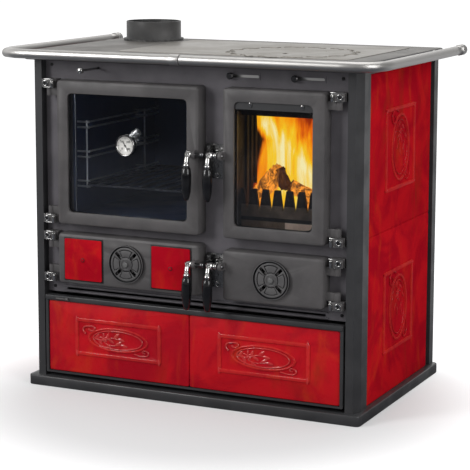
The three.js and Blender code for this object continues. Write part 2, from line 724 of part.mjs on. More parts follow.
// ---------------------------------------------------------------- towel rail
// A quarter bend as a curve, from the front run to the side run.
class Bend extends THREE.Curve {
  getPoint(t, target = new THREE.Vector3()) {
    const angle = (t * Math.PI) / 2;
    const centreX = RAIL_HALF_WIDTH - RAIL_BEND;
    const centreY = RAIL_FRONT + RAIL_BEND;
    return target.set(
      centreX + RAIL_BEND * Math.sin(angle),
      centreY - RAIL_BEND * Math.cos(angle),
      RAIL_Z,
    );
  }
}

// Half of the rail: tube, half of the middle collar, grooved end and the arms that hold it.
function railHalf() {
  const path = new THREE.CurvePath();
  path.add(new THREE.LineCurve3(
    new THREE.Vector3(GAP / 2, RAIL_FRONT, RAIL_Z),
    new THREE.Vector3(RAIL_HALF_WIDTH - RAIL_BEND, RAIL_FRONT, RAIL_Z),
  ));
  path.add(new Bend());
  path.add(new THREE.LineCurve3(
    new THREE.Vector3(RAIL_HALF_WIDTH, RAIL_FRONT + RAIL_BEND, RAIL_Z),
    new THREE.Vector3(RAIL_HALF_WIDTH, RAIL_BACK, RAIL_Z),
  ));
  const section = new THREE.Shape();
  section.absarc(0, 0, RAIL_RADIUS, 0, 2 * Math.PI, false);
  const tube = new THREE.ExtrudeGeometry(section, {
    steps: RAIL_STEPS, extrudePath: path, curveSegments: RAIL_SIDES / 2, bevelEnabled: false,
  });
  const collar = barX(RAIL_COLLAR_RADIUS, [GAP / 2, RAIL_COLLAR_LENGTH], RAIL_FRONT, RAIL_Z, 16);
  const groove = 3;
  const step = RAIL_END_LENGTH / 4;
  const end = turned([
    [0, RAIL_BACK - 1],
    [RAIL_END_RADIUS, RAIL_BACK - 1],
    [RAIL_END_RADIUS, RAIL_BACK + step],
    [RAIL_END_RADIUS - groove, RAIL_BACK + step + groove],
    [RAIL_END_RADIUS, RAIL_BACK + step + 2 * groove],
    [RAIL_END_RADIUS, RAIL_BACK + 2 * step + groove],
    [RAIL_END_RADIUS - groove, RAIL_BACK + 2 * step + 2 * groove],
    [RAIL_END_RADIUS, RAIL_BACK + 2 * step + 3 * groove],
    [RAIL_END_RADIUS - 3, RAIL_TIP - 2],
    [0, RAIL_TIP],
  ], 12).translate(RAIL_HALF_WIDTH, 0, RAIL_Z);
  const arms = RAIL_SIDE_ARMS.flatMap((y) => [
    barX(RAIL_ARM_RADIUS, [PLINTH_HALF + GAP, RAIL_HALF_WIDTH], y, RAIL_ARM_Z),
    barX(RAIL_FOOT_RADIUS, [PLINTH_HALF + GAP, PLINTH_HALF + GAP + RAIL_FOOT_THICKNESS], y, RAIL_ARM_Z),
  ]);
  return join(tube, collar, end, ...arms);
}

function makeRail() {
  const half = railHalf();
  piece('rail_right', half, chrome);
  const foot = PLINTH_FRONT - GAP;
  const frontArm = [
    barY(RAIL_ARM_RADIUS, [RAIL_FRONT, foot], RAIL_FRONT_ARM, RAIL_ARM_Z),
    barY(RAIL_FOOT_RADIUS, [foot - RAIL_FOOT_THICKNESS, foot], RAIL_FRONT_ARM, RAIL_ARM_Z, 16),
  ];
  piece('rail_left', join(mirrored(half), ...frontArm), chrome);
}

// ---------------------------------------------------------------- doors
// A cast door as a shallow tray: rounded face, side walls, open at the back.
function doorTray(x, z) {
  const depth = DOOR_BACK - DOOR_FACE;
  const shell = new THREE.ExtrudeGeometry(roundedShape(x, z, DOOR_CORNER), {
    depth: depth - DOOR_ROUND,
    bevelEnabled: true,
    bevelThickness: DOOR_ROUND,
    bevelSize: DOOR_ROUND,
    bevelOffset: -DOOR_ROUND,
    bevelSegments: 2,
    curveSegments: CORNER_STEPS,
  }).rotateX(Math.PI / 2).translate(0, DOOR_BACK, 0);
  const behind = block([x[0] - 9, x[1] + 9], [DOOR_BACK, DOOR_BACK + 2 * DOOR_ROUND], [z[0] - 9, z[1] + 9]);
  const hollow = upright(
    roundedShape([x[0] + DOOR_WALL, x[1] - DOOR_WALL], [z[0] + DOOR_WALL, z[1] - DOOR_WALL], 4),
    DOOR_FACE + DOOR_WALL, DOOR_BACK + 1, 2,
  );
  return cut(shell, behind, hollow);
}

// Where a door's four hinge heights lie: fixed blocks at the ends, the door's eyes between them.
function hingeHeights(z) {
  const top = z[1];
  const bottom = z[0];
  return {
    upperBlock: [top - HINGE_BLOCK_HEIGHT, top],
    upperEye: [top - HINGE_BLOCK_HEIGHT - GAP - HINGE_EYE_HEIGHT, top - HINGE_BLOCK_HEIGHT - GAP],
    lowerBlock: [bottom, bottom + HINGE_BLOCK_HEIGHT],
    lowerEye: [bottom + HINGE_BLOCK_HEIGHT + GAP, bottom + HINGE_BLOCK_HEIGHT + GAP + HINGE_EYE_HEIGHT],
  };
}

// Eyes that turn on the hinge pins, each on an arm from the door's edge. sign is +1 on the right.
function hingeEyes(z, sign, edge) {
  const heights = hingeHeights(z);
  return [heights.upperEye, heights.lowerEye].map((span) => {
    const reach = [sign * (HINGE_X - 2), sign * (edge - DOOR_WALL / 2)].sort((a, b) => a - b);
    const arm = block(
      reach, [HINGE_Y - HINGE_ARM_THICKNESS / 2, HINGE_Y + HINGE_ARM_THICKNESS / 2], span,
    );
    const eye = barZ(HINGE_EYE_RADIUS, span, sign * HINGE_X, HINGE_Y, 12);
    const bore = barZ(
      HINGE_PIN_RADIUS + EYE_CLEARANCE, [span[0] - 1, span[1] + 1], sign * HINGE_X, HINGE_Y,
    );
    return cut(join(arm, eye), bore);
  });
}

// The lug on a door's face that carries the handle shaft.
function handleBearing(x, z) {
  const lug = join(
    barX(BEARING_RADIUS, x, HANDLE_SHAFT_Y, z, 12),
    block(x, [HANDLE_SHAFT_Y, DOOR_FACE + DOOR_WALL - 1], [z - BEARING_RADIUS + 1, z + BEARING_RADIUS - 1]),
  );
  return cut(lug, barX(HANDLE_SHAFT_RADIUS + EYE_CLEARANCE, [x[0] - 1, x[1] + 1], HANDLE_SHAFT_Y, z));
}

const leftBearingX = [
  LEFT_DOORS[1] - BEARING_INSET - BEARING_WIDTH, LEFT_DOORS[1] - BEARING_INSET,
];
const rightBearingX = [
  RIGHT_DOORS[0] + BEARING_INSET, RIGHT_DOORS[0] + BEARING_INSET + BEARING_WIDTH,
];

const windowOf = (x, z, margin) => ({
  x: [x[0] + margin[0], x[1] - margin[0]],
  z: [z[0] + margin[1], z[1] - margin[1]],
});
const OVEN_WINDOW = windowOf(LEFT_DOORS, UPPER_DOORS, OVEN_WINDOW_MARGIN);
const FIRE_WINDOW = windowOf(RIGHT_DOORS, UPPER_DOORS, FIRE_WINDOW_MARGIN);

function windowCutter(opening) {
  return upright(roundedShape(opening.x, opening.z, WINDOW_CORNER), DOOR_FACE - 1, DOOR_BACK);
}

function glassPane(opening) {
  const lap = (span) => [span[0] - GLASS_LAP, span[1] + GLASS_LAP];
  const front = DOOR_FACE + DOOR_WALL;
  return upright(roundedShape(lap(opening.x), lap(opening.z), 3), front, front + GLASS_THICKNESS, 2);
}

function makeOvenDoor() {
  const tray = cut(doorTray(LEFT_DOORS, UPPER_DOORS), windowCutter(OVEN_WINDOW));
  const frame = join(
    tray,
    ...hingeEyes(UPPER_DOORS, -1, -LEFT_DOORS[0]),
    handleBearing(leftBearingX, UPPER_SHAFT_Z),
  );
  piece('oven_door_frame', frame, iron);
  const glassFront = DOOR_FACE + DOOR_WALL;
  const stemHole = barY(
    STEM_RADIUS + EYE_CLEARANCE, [glassFront - 1, glassFront + GLASS_THICKNESS + 1], DIAL_X, DIAL_Z,
  );
  piece('oven_door_glass', cut(glassPane(OVEN_WINDOW), stemHole), glassy);
  const face0 = glassFront - DIAL_DEPTH;
  const dial = turned([
    [0, glassFront + STEM_LENGTH],
    [STEM_RADIUS, glassFront + STEM_LENGTH - 3],
    [STEM_RADIUS, glassFront],
    [DIAL_RADIUS, glassFront],
    [DIAL_RADIUS, face0 + 1],
    [DIAL_RADIUS - 1, face0],
    [DIAL_RADIUS - DIAL_RIM, face0],
    [DIAL_RADIUS - DIAL_RIM, face0 + 3],
    [0, face0 + 3],
  ]).translate(DIAL_X, 0, DIAL_Z);
  piece('oven_thermometer', dial, dialFace);
}

function makeFireDoor() {
  const tray = cut(doorTray(RIGHT_DOORS, UPPER_DOORS), windowCutter(FIRE_WINDOW));
  const frame = join(
    tray,
    ...hingeEyes(UPPER_DOORS, 1, RIGHT_DOORS[1]),
    handleBearing(rightBearingX, UPPER_SHAFT_Z),
  );
  piece('fire_door_frame', frame, iron);
  piece('fire_door_glass', glassPane(FIRE_WINDOW), glassy);
  const front = DOOR_FACE + DOOR_WALL - CLIP_THICKNESS - GAP;
  const clip = roundedShape(
    [FIRE_WINDOW.x[0] + GAP, FIRE_WINDOW.x[1] - GAP],
    [FIRE_WINDOW.z[1] - CLIP_HEIGHT, FIRE_WINDOW.z[1] - GAP],
    WINDOW_CORNER,
  );
  const screwX = [FIRE_WINDOW.x[0] + CLIP_SCREW_INSETS[0], FIRE_WINDOW.x[1] - CLIP_SCREW_INSETS[1]];
  const screws = screwX.map((x) => barY(4, [front - 2, front + 1], x, FIRE_WINDOW.z[1] - CLIP_HEIGHT / 2));
  piece('fire_glass_clip', join(upright(clip, front, front + CLIP_THICKNESS), ...screws), iron);
}

// The turning air rosette: disc with four diagonal slots, rim, petals and boss, on a spindle.
function rosette() {
  const disc = new THREE.Shape();
  disc.absarc(0, 0, ROSETTE_RADIUS, 0, 2 * Math.PI, false);
  const half = ROSETTE_SLOT_WIDTH / 2;
  for (let i = 0; i < 4; i += 1) {
    const angle = Math.PI / 4 + (i * Math.PI) / 2;
    const corners = [
      [ROSETTE_SLOT_INNER, -half], [ROSETTE_SLOT_OUTER - half, -half], [ROSETTE_SLOT_OUTER, 0],
      [ROSETTE_SLOT_OUTER - half, half], [ROSETTE_SLOT_INNER, half],
    ];
    disc.holes.push(new THREE.Path(corners.map(([r, side]) => new THREE.Vector2(
      r * Math.cos(angle) - side * Math.sin(angle), r * Math.sin(angle) + side * Math.cos(angle),
    ))));
  }
  const plate = flat(disc, 0, ROSETTE_DISC, ROUND_STEPS / 2);
  const top = ROSETTE_DISC + ROSETTE_RISE;
  const rim = ellipseBand(
    ROSETTE_RADIUS, ROSETTE_RADIUS, ROSETTE_RING, ROSETTE_DISC - 1, top, ROUND_STEPS / 2,
  );
  const petals = [0, 1, 2, 3].map((i) => {
    const petal = new THREE.Shape();
    petal.absellipse(PETAL_CENTRE, 0, PETAL_LENGTH, PETAL_WIDTH, 0, 2 * Math.PI, false, 0);
    return flat(petal, ROSETTE_DISC - 1, top - 1, 5).rotateZ((i * Math.PI) / 2);
  });
  const boss = turned([
    [0, ROSETTE_DISC - 1],
    [ROSETTE_BOSS_RADIUS, ROSETTE_DISC - 1],
    [ROSETTE_BOSS_RADIUS, top],
    [ROSETTE_BOSS_RADIUS - 3, top + 2],
    [0, top + 2],
  ], 14).rotateX(Math.PI / 2);
  const spindle = barZ(ROSETTE_SPINDLE_RADIUS, [-DOOR_WALL - 6, 1], 0, 0);
  return join(plate, rim, ...petals, boss, spindle);
}

// The soot and ash doors have no window: a spindle hole and four air holes behind the rosette.
function solidDoor(x, z, sign, edge, bearingX) {
  const centre = [(x[0] + x[1]) / 2, (z[0] + z[1]) / 2];
  const through = [DOOR_FACE - 1, DOOR_FACE + DOOR_WALL + 1];
  const holes = [barY(ROSETTE_SPINDLE_RADIUS + EYE_CLEARANCE, through, ...centre)];
  const reach = (ROSETTE_SLOT_INNER + ROSETTE_SLOT_OUTER) / 2;
  for (let i = 0; i < 4; i += 1) {
    const angle = Math.PI / 4 + (i * Math.PI) / 2;
    holes.push(barY(
      AIR_HOLE_RADIUS, through, centre[0] + reach * Math.cos(angle), centre[1] + reach * Math.sin(angle), 6,
    ));
  }
  return join(
    cut(doorTray(x, z), ...holes),
    ...hingeEyes(z, sign, edge),
    handleBearing(bearingX, LOWER_SHAFT_Z),
  );
}

function placeRosette(name, x, z) {
  const mesh = piece(name, rosette(), iron);
  face(mesh, 'front').position.set((x[0] + x[1]) / 2, DOOR_FACE - GAP, (z[0] + z[1]) / 2);
}

function makeSootDoor() {
  const z = SOOT_DOOR_HEIGHTS;
  piece('soot_door', solidDoor(LEFT_DOORS, z, -1, -LEFT_DOORS[0], leftBearingX), iron);
  placeRosette('soot_rosette', LEFT_DOORS, z);
  const tile = SOOT_TILE;
  const centres = {
    left: LEFT_DOORS[0] + tile.margin + tile.width / 2,
    right: LEFT_DOORS[1] - tile.margin - tile.width / 2,
  };
  for (const [side, x] of Object.entries(centres)) {
    const shape = roundedShape(
      [x - tile.width / 2, x + tile.width / 2],
      [(z[0] + z[1] - tile.height) / 2, (z[0] + z[1] + tile.height) / 2],
      3,
    );
    const slab = upright(shape, DOOR_FACE - GAP - tile.depth, DOOR_FACE - GAP, 1);
    const screw = turned([[0, 0], [6, 0], [6, -1.5], [3, -3], [0, -3]], 10)
      .translate(x, DOOR_FACE - GAP - tile.depth + 0.5, (z[0] + z[1]) / 2);
    piece(`soot_tile_${side}`, join(slab, screw), enamel);
  }
}

function makeAshDoor() {
  piece('ash_door', solidDoor(RIGHT_DOORS, ASH_DOOR_HEIGHTS, 1, RIGHT_DOORS[1], rightBearingX), iron);
  placeRosette('ash_rosette', RIGHT_DOORS, ASH_DOOR_HEIGHTS);
}

// A hinge block screwed to the front plate, with the pin that carries the door's eye.
function hingeBlock(sign, blockZ, pinZ) {
  const half = HINGE_BLOCK_WIDTH / 2;
  const middle = (blockZ[0] + blockZ[1]) / 2;
  const body = block(
    [-half, half].map((x) => x + sign * HINGE_X),
    [HINGE_Y - 1, PLATE_FRONT],
    blockZ,
  );
  const nose = barZ(HINGE_BLOCK_FRONT, blockZ, sign * HINGE_X, HINGE_Y, 14);
  const pin = barZ(HINGE_PIN_RADIUS, pinZ, sign * HINGE_X, HINGE_Y);
  const screw = barY(
    HINGE_SCREW_RADIUS, [HINGE_Y - HINGE_BLOCK_FRONT - 2, HINGE_Y], sign * HINGE_X, middle, 10,
  );
  return join(body, nose, pin, screw);
}

function makeHinges() {
  const doors = {
    oven: [-1, UPPER_DOORS],
    soot: [-1, SOOT_DOOR_HEIGHTS],
    fire: [1, UPPER_DOORS],
    ash: [1, ASH_DOOR_HEIGHTS],
  };
  for (const [door, [sign, z]] of Object.entries(doors)) {
    const heights = hingeHeights(z);
    const upper = hingeBlock(sign, heights.upperBlock, [heights.upperEye[0] + 1, heights.upperBlock[0] + 1]);
    const lower = hingeBlock(sign, heights.lowerBlock, [heights.lowerBlock[1] - 1, heights.lowerEye[1] - 1]);
    piece(`hinge_${door}_upper`, upper, chrome);
    piece(`hinge_${door}_lower`, lower, chrome);
  }
}

// ---------------------------------------------------------------- handles and catches
// Lever: hub and shaft, tongue behind, neck and ferrule hanging in front. Origin on the shaft axis.
function lever(leverX, tongueX, shaftEnd) {
  const hub = barX(HUB_RADIUS, [leverX - HUB_WIDTH / 2, leverX + HUB_WIDTH / 2], 0, 0, 14);
  const shaft = barX(HANDLE_SHAFT_RADIUS, [leverX, shaftEnd], 0, 0);
  const tongue = join(
    block(
      [tongueX - TONGUE_WIDTH / 2, tongueX + TONGUE_WIDTH / 2],
      [0, TONGUE_REACH],
      [-TONGUE_HEIGHT / 2, TONGUE_HEIGHT / 2],
    ),
    barX(TONGUE_HEIGHT / 2 + 1, [tongueX - TONGUE_WIDTH / 2 - 1, tongueX + TONGUE_WIDTH / 2 + 1], 0, 0),
  );
  const bend = new THREE.QuadraticBezierCurve3(
    new THREE.Vector3(leverX, 0, 0),
    new THREE.Vector3(leverX, -LEVER_FORWARD, 0),
    new THREE.Vector3(leverX, -LEVER_FORWARD, FERRULE_LENGTH / 2 - LEVER_DROP),
  );
  const section = new THREE.Shape();
  section.absarc(0, 0, NECK_RADIUS, 0, 2 * Math.PI, false);
  const neck = new THREE.ExtrudeGeometry(section, {
    steps: 5, extrudePath: bend, curveSegments: 3, bevelEnabled: false,
  });
  const ferrule = turned([
    [0, FERRULE_LENGTH - LEVER_DROP],
    [NECK_RADIUS + 0.5, FERRULE_LENGTH - LEVER_DROP],
    [FERRULE_RADIUS, FERRULE_LENGTH / 2 - LEVER_DROP],
    [FERRULE_RADIUS, -LEVER_DROP],
    [0, -LEVER_DROP],
  ], 12).rotateX(Math.PI / 2).translate(leverX, -LEVER_FORWARD, 0);
  return join(hub, shaft, tongue, neck, ferrule);
}

// The grip swells below the ferrule and tapers to its tip. Pairs are radius and share of length.
function grip(leverX) {
  const top = -LEVER_DROP - GAP;
  const profile = [
    [0, 0],
    [FERRULE_RADIUS, 0],
    [GRIP_RADIUS - 1.5, 0.07],
    [GRIP_RADIUS, 0.25],
    [GRIP_RADIUS, 0.5],
    [GRIP_RADIUS - 1.5, 0.74],
    [GRIP_TIP_RADIUS + 3, 0.91],
    [GRIP_TIP_RADIUS, 1],
    [0, 1],
  ].map(([radius, share]) => [radius, top - share * GRIP_LENGTH]);
  return turned(profile, 14).rotateX(Math.PI / 2).translate(leverX, -LEVER_FORWARD, 0);
}

function makeHandles() {
  const left = [LEFT_LEVER_X, LEFT_TONGUE_X, LEFT_TONGUE_X + TONGUE_WIDTH / 2 + 2];
  const right = [RIGHT_LEVER_X, RIGHT_TONGUE_X, rightBearingX[1] + 2];
  const doors = {
    oven: [left, UPPER_SHAFT_Z],
    fire: [right, UPPER_SHAFT_Z],
    soot: [left, LOWER_SHAFT_Z],
    ash: [right, LOWER_SHAFT_Z],
  };
  for (const [door, [sizes, z]] of Object.entries(doors)) {
    piece(`${door}_lever`, lever(...sizes), chrome).position.set(0, HANDLE_SHAFT_Y, z);
    piece(`${door}_grip`, grip(sizes[0]), black).position.set(0, HANDLE_SHAFT_Y, z);
  }
}

// The catch between a pair of doors: a plate with one strike over each tongue.
function makeCatches() {
  const strikeBottom = TONGUE_HEIGHT / 2 + GAP + EYE_CLEARANCE;
  const heights = { upper: UPPER_SHAFT_Z, lower: LOWER_SHAFT_Z };
  for (const [pair, z] of Object.entries(heights)) {
    const plateX = [LEFT_TONGUE_X - CATCH_SIDE[0], RIGHT_TONGUE_X + CATCH_SIDE[1]];
    const back = [PLATE_FRONT - CATCH_THICKNESS, PLATE_FRONT];
    const plate = upright(roundedShape(plateX, [z - CATCH_BELOW, z + CATCH_ABOVE], 5), ...back);
    const strikes = [LEFT_TONGUE_X, RIGHT_TONGUE_X].map((x) => block(
      [x - TONGUE_WIDTH / 2 - 1.5, x + TONGUE_WIDTH / 2 + 1.5],
      [PLATE_FRONT - CATCH_THICKNESS - STRIKE_DEPTH, PLATE_FRONT - 1],
      [z + strikeBottom, z + strikeBottom + STRIKE_HEIGHT],
    ));
    const screws = [z - CATCH_BELOW / 2, z - CATCH_BELOW + 2 * CATCH_SCREW_RADIUS].map((height) => barY(
      CATCH_SCREW_RADIUS, [back[0] - 2.5, back[0] + 1], (plateX[0] + plateX[1]) / 2, height, 12,
    ));
    piece(`catch_${pair}`, join(plate, ...strikes, ...screws), chrome);
  }
}

// ---------------------------------------------------------------- air slides and damper
function makeAirSlides() {
  const names = ['air_slide_left', 'air_slide_right'];
  SLIDE_SLOT_LEFTS.forEach((left, i) => {
    const knobX = left + SLIDE_KNOB_INSET;
    const strip = block(
      [left - 8, left + SLIDE_SLOT_LENGTH + 8],
      [PLATE_BACK + GAP, PLATE_BACK + GAP + SLIDE_STRIP_THICKNESS],
      [SLIDE_Z - SLIDE_STRIP_HEIGHT / 2, SLIDE_Z + SLIDE_STRIP_HEIGHT / 2],
    );
    const knobBack = PLATE_FRONT - 1;
    const neck = barY(SLIDE_NECK_RADIUS, [knobBack - 1, PLATE_BACK + GAP + 1], knobX, SLIDE_Z);
    const knob = turned([
      [0, knobBack],
      [SLIDE_KNOB_RADIUS - 3, knobBack],
      [SLIDE_KNOB_RADIUS - 3, knobBack - 4],
      [SLIDE_KNOB_RADIUS, knobBack - 6],
      [SLIDE_KNOB_RADIUS, knobBack - SLIDE_KNOB_LENGTH + 2],
      [SLIDE_KNOB_RADIUS - 2, knobBack - SLIDE_KNOB_LENGTH],
      [0, knobBack - SLIDE_KNOB_LENGTH],
    ], 12).translate(knobX, 0, SLIDE_Z);
    piece(names[i], join(strip, neck, knob), chrome);
  });
}

function makeDamper() {
  const rod = barY(DAMPER_ROD_RADIUS, [DAMPER_ROD_FRONT - 1, DAMPER_ROD_BACK], DAMPER_X, DAMPER_Z);
  const knob = turned([
    [0, DAMPER_ROD_FRONT],
    [DAMPER_ROD_RADIUS + 1.5, DAMPER_ROD_FRONT],
    [DAMPER_KNOB_RADIUS, DAMPER_ROD_FRONT - 4],
    [DAMPER_KNOB_RADIUS, DAMPER_ROD_FRONT - DAMPER_KNOB_LENGTH + 3],
    [DAMPER_KNOB_RADIUS - 3, DAMPER_ROD_FRONT - DAMPER_KNOB_LENGTH],
    [0, DAMPER_ROD_FRONT - DAMPER_KNOB_LENGTH],
  ], 12).translate(DAMPER_X, 0, DAMPER_Z);
  piece('damper_rod', join(rod, knob), chrome);
}

// ---------------------------------------------------------------- drawer
function makeDrawer() {
  const faceX = [-DRAWER_HALF, DRAWER_HALF];
  const faceBack = DRAWER_FACE + DRAWER_FRAME_DEPTH;
  const front = upright(roundedShape(faceX, [DRAWER_BOTTOM, DRAWER_TOP], 2), DRAWER_FACE, faceBack, 1);
  const tileHalf = DRAWER_HALF - DRAWER_TILE_SIDE;
  const tileBack = DRAWER_FACE + TILE_BASE + TILE_RELIEF;
  const tilePocket = block(
    [-tileHalf, tileHalf], [DRAWER_FACE - 1, tileBack], [DRAWER_TILE_BOTTOM, DRAWER_TILE_TOP],
  );
  const boxFloor = RUNNER_TOP + GAP;
  const boxX = [-DRAWER_BOX_HALF, DRAWER_BOX_HALF];
  const outer = block(boxX, [faceBack - 1, DRAWER_BOX_BACK], [boxFloor, DRAWER_BOX_TOP]);
  const inner = block(
    [boxX[0] + DRAWER_SHEET, boxX[1] - DRAWER_SHEET],
    [faceBack, DRAWER_BOX_BACK - DRAWER_SHEET],
    [boxFloor + DRAWER_SHEET, DRAWER_BOX_TOP + 1],
  );
  piece('drawer_box', join(cut(front, tilePocket), cut(outer, inner)), iron);
  const height = DRAWER_TILE_TOP - DRAWER_TILE_BOTTOM - 2 * GAP;
  const width = tileHalf - GAP - TILE_SEAM_WIDTH / 2;
  const centre = (GAP - TILE_SEAM_WIDTH / 2 - tileHalf) / 2;
  for (const [side, sign] of [['left', 1], ['right', -1]]) {
    const tile = piece(`drawer_tile_${side}`, reliefTile(width, height, DRAWER_ORNAMENT, 0, 5), enamel);
    face(tile, 'front').position.set(
      sign * centre,
      tileBack - GAP,
      (DRAWER_TILE_BOTTOM + DRAWER_TILE_TOP) / 2,
    );
  }
}

// ---------------------------------------------------------------- inside
const around = (span, wall) => [span[0] - wall, span[1] + wall];

// One sheet casing holds the oven above and the soot box below it.
function makeOvenLiner() {
  const x = OVEN_MOUTH.x;
  const outer = block(
    around(x, LINER_SHEET), [PLATE_BACK, OVEN_BACK],
    [SOOT_MOUTH.z[0] - LINER_SHEET, OVEN_MOUTH.z[1] + LINER_SHEET],
  );
  const oven = block(x, [PLATE_BACK - 1, OVEN_BACK - LINER_SHEET], OVEN_MOUTH.z);
  const soot = block(
    x, [PLATE_BACK - 1, OVEN_BACK - LINER_SHEET],
    [SOOT_MOUTH.z[0], OVEN_MOUTH.z[0] - LINER_SHEET],
  );
  piece('oven_liner', cut(outer, oven, soot), liner);
}

// A wire ladder on each oven wall: two uprights and a pair of runners at each level.
function rackGuide(wallX, sign) {
  const x = wallX - sign * RACK_STANDOFF;
  const wires = [];
  const top = RACK_LEVELS[2] + RACK_PAIR;
  const reach = WIRE_RADIUS + 1;
  const peg = [x - sign * RACK_PEG_END, wallX - sign * GAP].sort((a, b) => a - b);
  for (const y of RACK_UPRIGHTS) {
    wires.push(barZ(WIRE_RADIUS, [RACK_LEVELS[0] - reach, top + reach], x, y, WIRE_STEPS));
  }
  for (const level of RACK_LEVELS) {
    for (const z of [level, level + RACK_PAIR]) {
      wires.push(barY(WIRE_RADIUS, RACK_Y, x - sign * WIRE_RADIUS, z, WIRE_STEPS));
      for (const y of RACK_UPRIGHTS) {
        wires.push(barX(WIRE_RADIUS, peg, y, z, WIRE_STEPS));
      }
    }
  }
  return join(...wires);
}

function makeOvenRacks() {
  piece('rack_guide_left', rackGuide(OVEN_MOUTH.x[0], -1), steel);
  piece('rack_guide_right', rackGuide(OVEN_MOUTH.x[1], 1), steel);
  const bottom = RACK_LEVELS[0] + WIRE_RADIUS + GAP;
  const x = around(OVEN_MOUTH.x, -(RACK_STANDOFF + WIRE_RADIUS + GAP));
  const grid = outline([[x[0], RACK_Y[0]], [x[1], RACK_Y[0]], [x[1], RACK_Y[1]], [x[0], RACK_Y[1]]]);
  const pitch = (x[1] - x[0] - SHELF_BAR) / SHELF_GAPS;
  for (let i = 0; i < SHELF_GAPS; i += 1) {
    const left = x[0] + SHELF_BAR + i * pitch;
    grid.holes.push(slotHole([left, left + pitch - SHELF_BAR], around(RACK_Y, -SHELF_BAR), 2));
  }
  piece('oven_shelf', flat(grid, bottom, bottom + SHELF_BAR), steel);
}

// Ribbed firebox casting over the ash box, with an opening in its floor for the grate.
function makeFirebox() {
  const inner = FIRE_MOUTH.x;
  const outer = block(
    around(inner, FIREBOX_WALL), [PLATE_BACK, FIREBOX_BACK],
    [ASH_MOUTH.z[0] - FIREBOX_WALL, FIRE_MOUTH.z[1] + FIREBOX_WALL],
  );
  const back = FIREBOX_BACK - FIREBOX_WALL;
  const fire = block(inner, [PLATE_BACK - 1, back], [FIREBOX_FLOOR[1], FIRE_MOUTH.z[1]]);
  const ash = block(inner, [PLATE_BACK - 1, back], [ASH_MOUTH.z[0], FIREBOX_FLOOR[0]]);
  const drop = block(
    [GRATE_X[0] + GRATE_LEDGE, GRATE_X[1] - GRATE_LEDGE],
    [GRATE_Y[0] + GRATE_LEDGE, GRATE_Y[1] - GRATE_LEDGE],
    [FIREBOX_FLOOR[0] - 1, FIREBOX_FLOOR[1] + 1],
  );
  const ribs = [];
  const ribZ = [FIREBOX_FLOOR[1] - 1, FIRE_MOUTH.z[1] + 1];
  const first = GUARD_FRONT + GUARD_THICKNESS + 12;
  for (let y = first; y + RIB_WIDTH < back - RIB_DEPTH; y += RIB_PITCH) {
    ribs.push(block([inner[0] - 1, inner[0] + RIB_DEPTH], [y, y + RIB_WIDTH], ribZ));
    ribs.push(block([inner[1] - RIB_DEPTH, inner[1] + 1], [y, y + RIB_WIDTH], ribZ));
  }
  const backRibs = Math.floor((inner[1] - inner[0] - 2 * RIB_DEPTH) / RIB_PITCH);
  const start = (inner[0] + inner[1] - (backRibs - 1) * RIB_PITCH - RIB_WIDTH) / 2;
  for (let i = 0; i < backRibs; i += 1) {
    const x = start + i * RIB_PITCH;
    ribs.push(block([x, x + RIB_WIDTH], [back - RIB_DEPTH, back + 1], ribZ));
  }
  piece('firebox_liner', join(cut(outer, fire, ash, drop), ...ribs), liner);
}

function makeGrate() {
  const shape = roundedShape(GRATE_X, GRATE_Y, 6);
  const pitch = (GRATE_X[1] - GRATE_X[0] - 2 * GRATE_SIDE_RIM) / GRATE_BARS;
  for (let i = 0; i < GRATE_BARS; i += 1) {
    const x = GRATE_X[0] + GRATE_SIDE_RIM + (i + 0.5) * pitch;
    shape.holes.push(slotHole(
      [x - pitch * 0.3, x + pitch * 0.3],
      [GRATE_Y[0] + GRATE_END_RIM, GRATE_Y[1] - GRATE_END_RIM],
      GRATE_CHAMFER,
    ));
  }
  piece('fire_grate', flat(shape, FIREBOX_FLOOR[1], FIREBOX_FLOOR[1] + GRATE_THICKNESS, 1), liner);
}

// The log guard stands inside the firebox mouth: flat prongs with pointed gaps between them.
function makeLogGuard() {
  const x = [FIRE_MOUTH.x[0] + GAP, FIRE_MOUTH.x[1] - GAP];
  const pitch = (x[1] - x[0]) / GUARD_PRONGS;
  const points = [[x[0], FIREBOX_FLOOR[1]], [x[1], FIREBOX_FLOOR[1]], [x[1], GUARD_TIP]];
  for (let i = GUARD_PRONGS - 1; i >= 0; i -= 1) {
    const middle = x[0] + (i + 0.5) * pitch;
    points.push([middle + GUARD_GAP_WIDTH / 2, GUARD_TIP]);
    points.push([middle, GUARD_GAP_BOTTOM]);
    points.push([middle - GUARD_GAP_WIDTH / 2, GUARD_TIP]);
  }
  points.push([x[0], GUARD_TIP]);
  piece('log_guard', upright(outline(points), GUARD_FRONT, GUARD_FRONT + GUARD_THICKNESS), liner);
}

function makeAshPan() {
  const floor = ASH_MOUTH.z[0];
  const x = [ASH_MOUTH.x[0] + ASH_PAN_SIDE, ASH_MOUTH.x[1] - ASH_PAN_SIDE];
  const outer = block(x, ASH_PAN_Y, [floor, floor + ASH_PAN_HEIGHT]);
  const inner = block(
    around(x, -ASH_PAN_SHEET), around(ASH_PAN_Y, -ASH_PAN_SHEET),
    [floor + ASH_PAN_SHEET, floor + ASH_PAN_HEIGHT + 1],
  );
  const pullTop = floor + ASH_PAN_HEIGHT - ASH_PULL.drop;
  const pull = block(
    [(x[0] + x[1]) / 2 - ASH_PULL.halfWidth, (x[0] + x[1]) / 2 + ASH_PULL.halfWidth],
    [ASH_PAN_Y[0] - ASH_PULL.reach, ASH_PAN_Y[0] + 1],
    [pullTop - ASH_PULL.thickness, pullTop],
  );
  piece('ash_pan', join(cut(outer, inner), pull), steel);
}

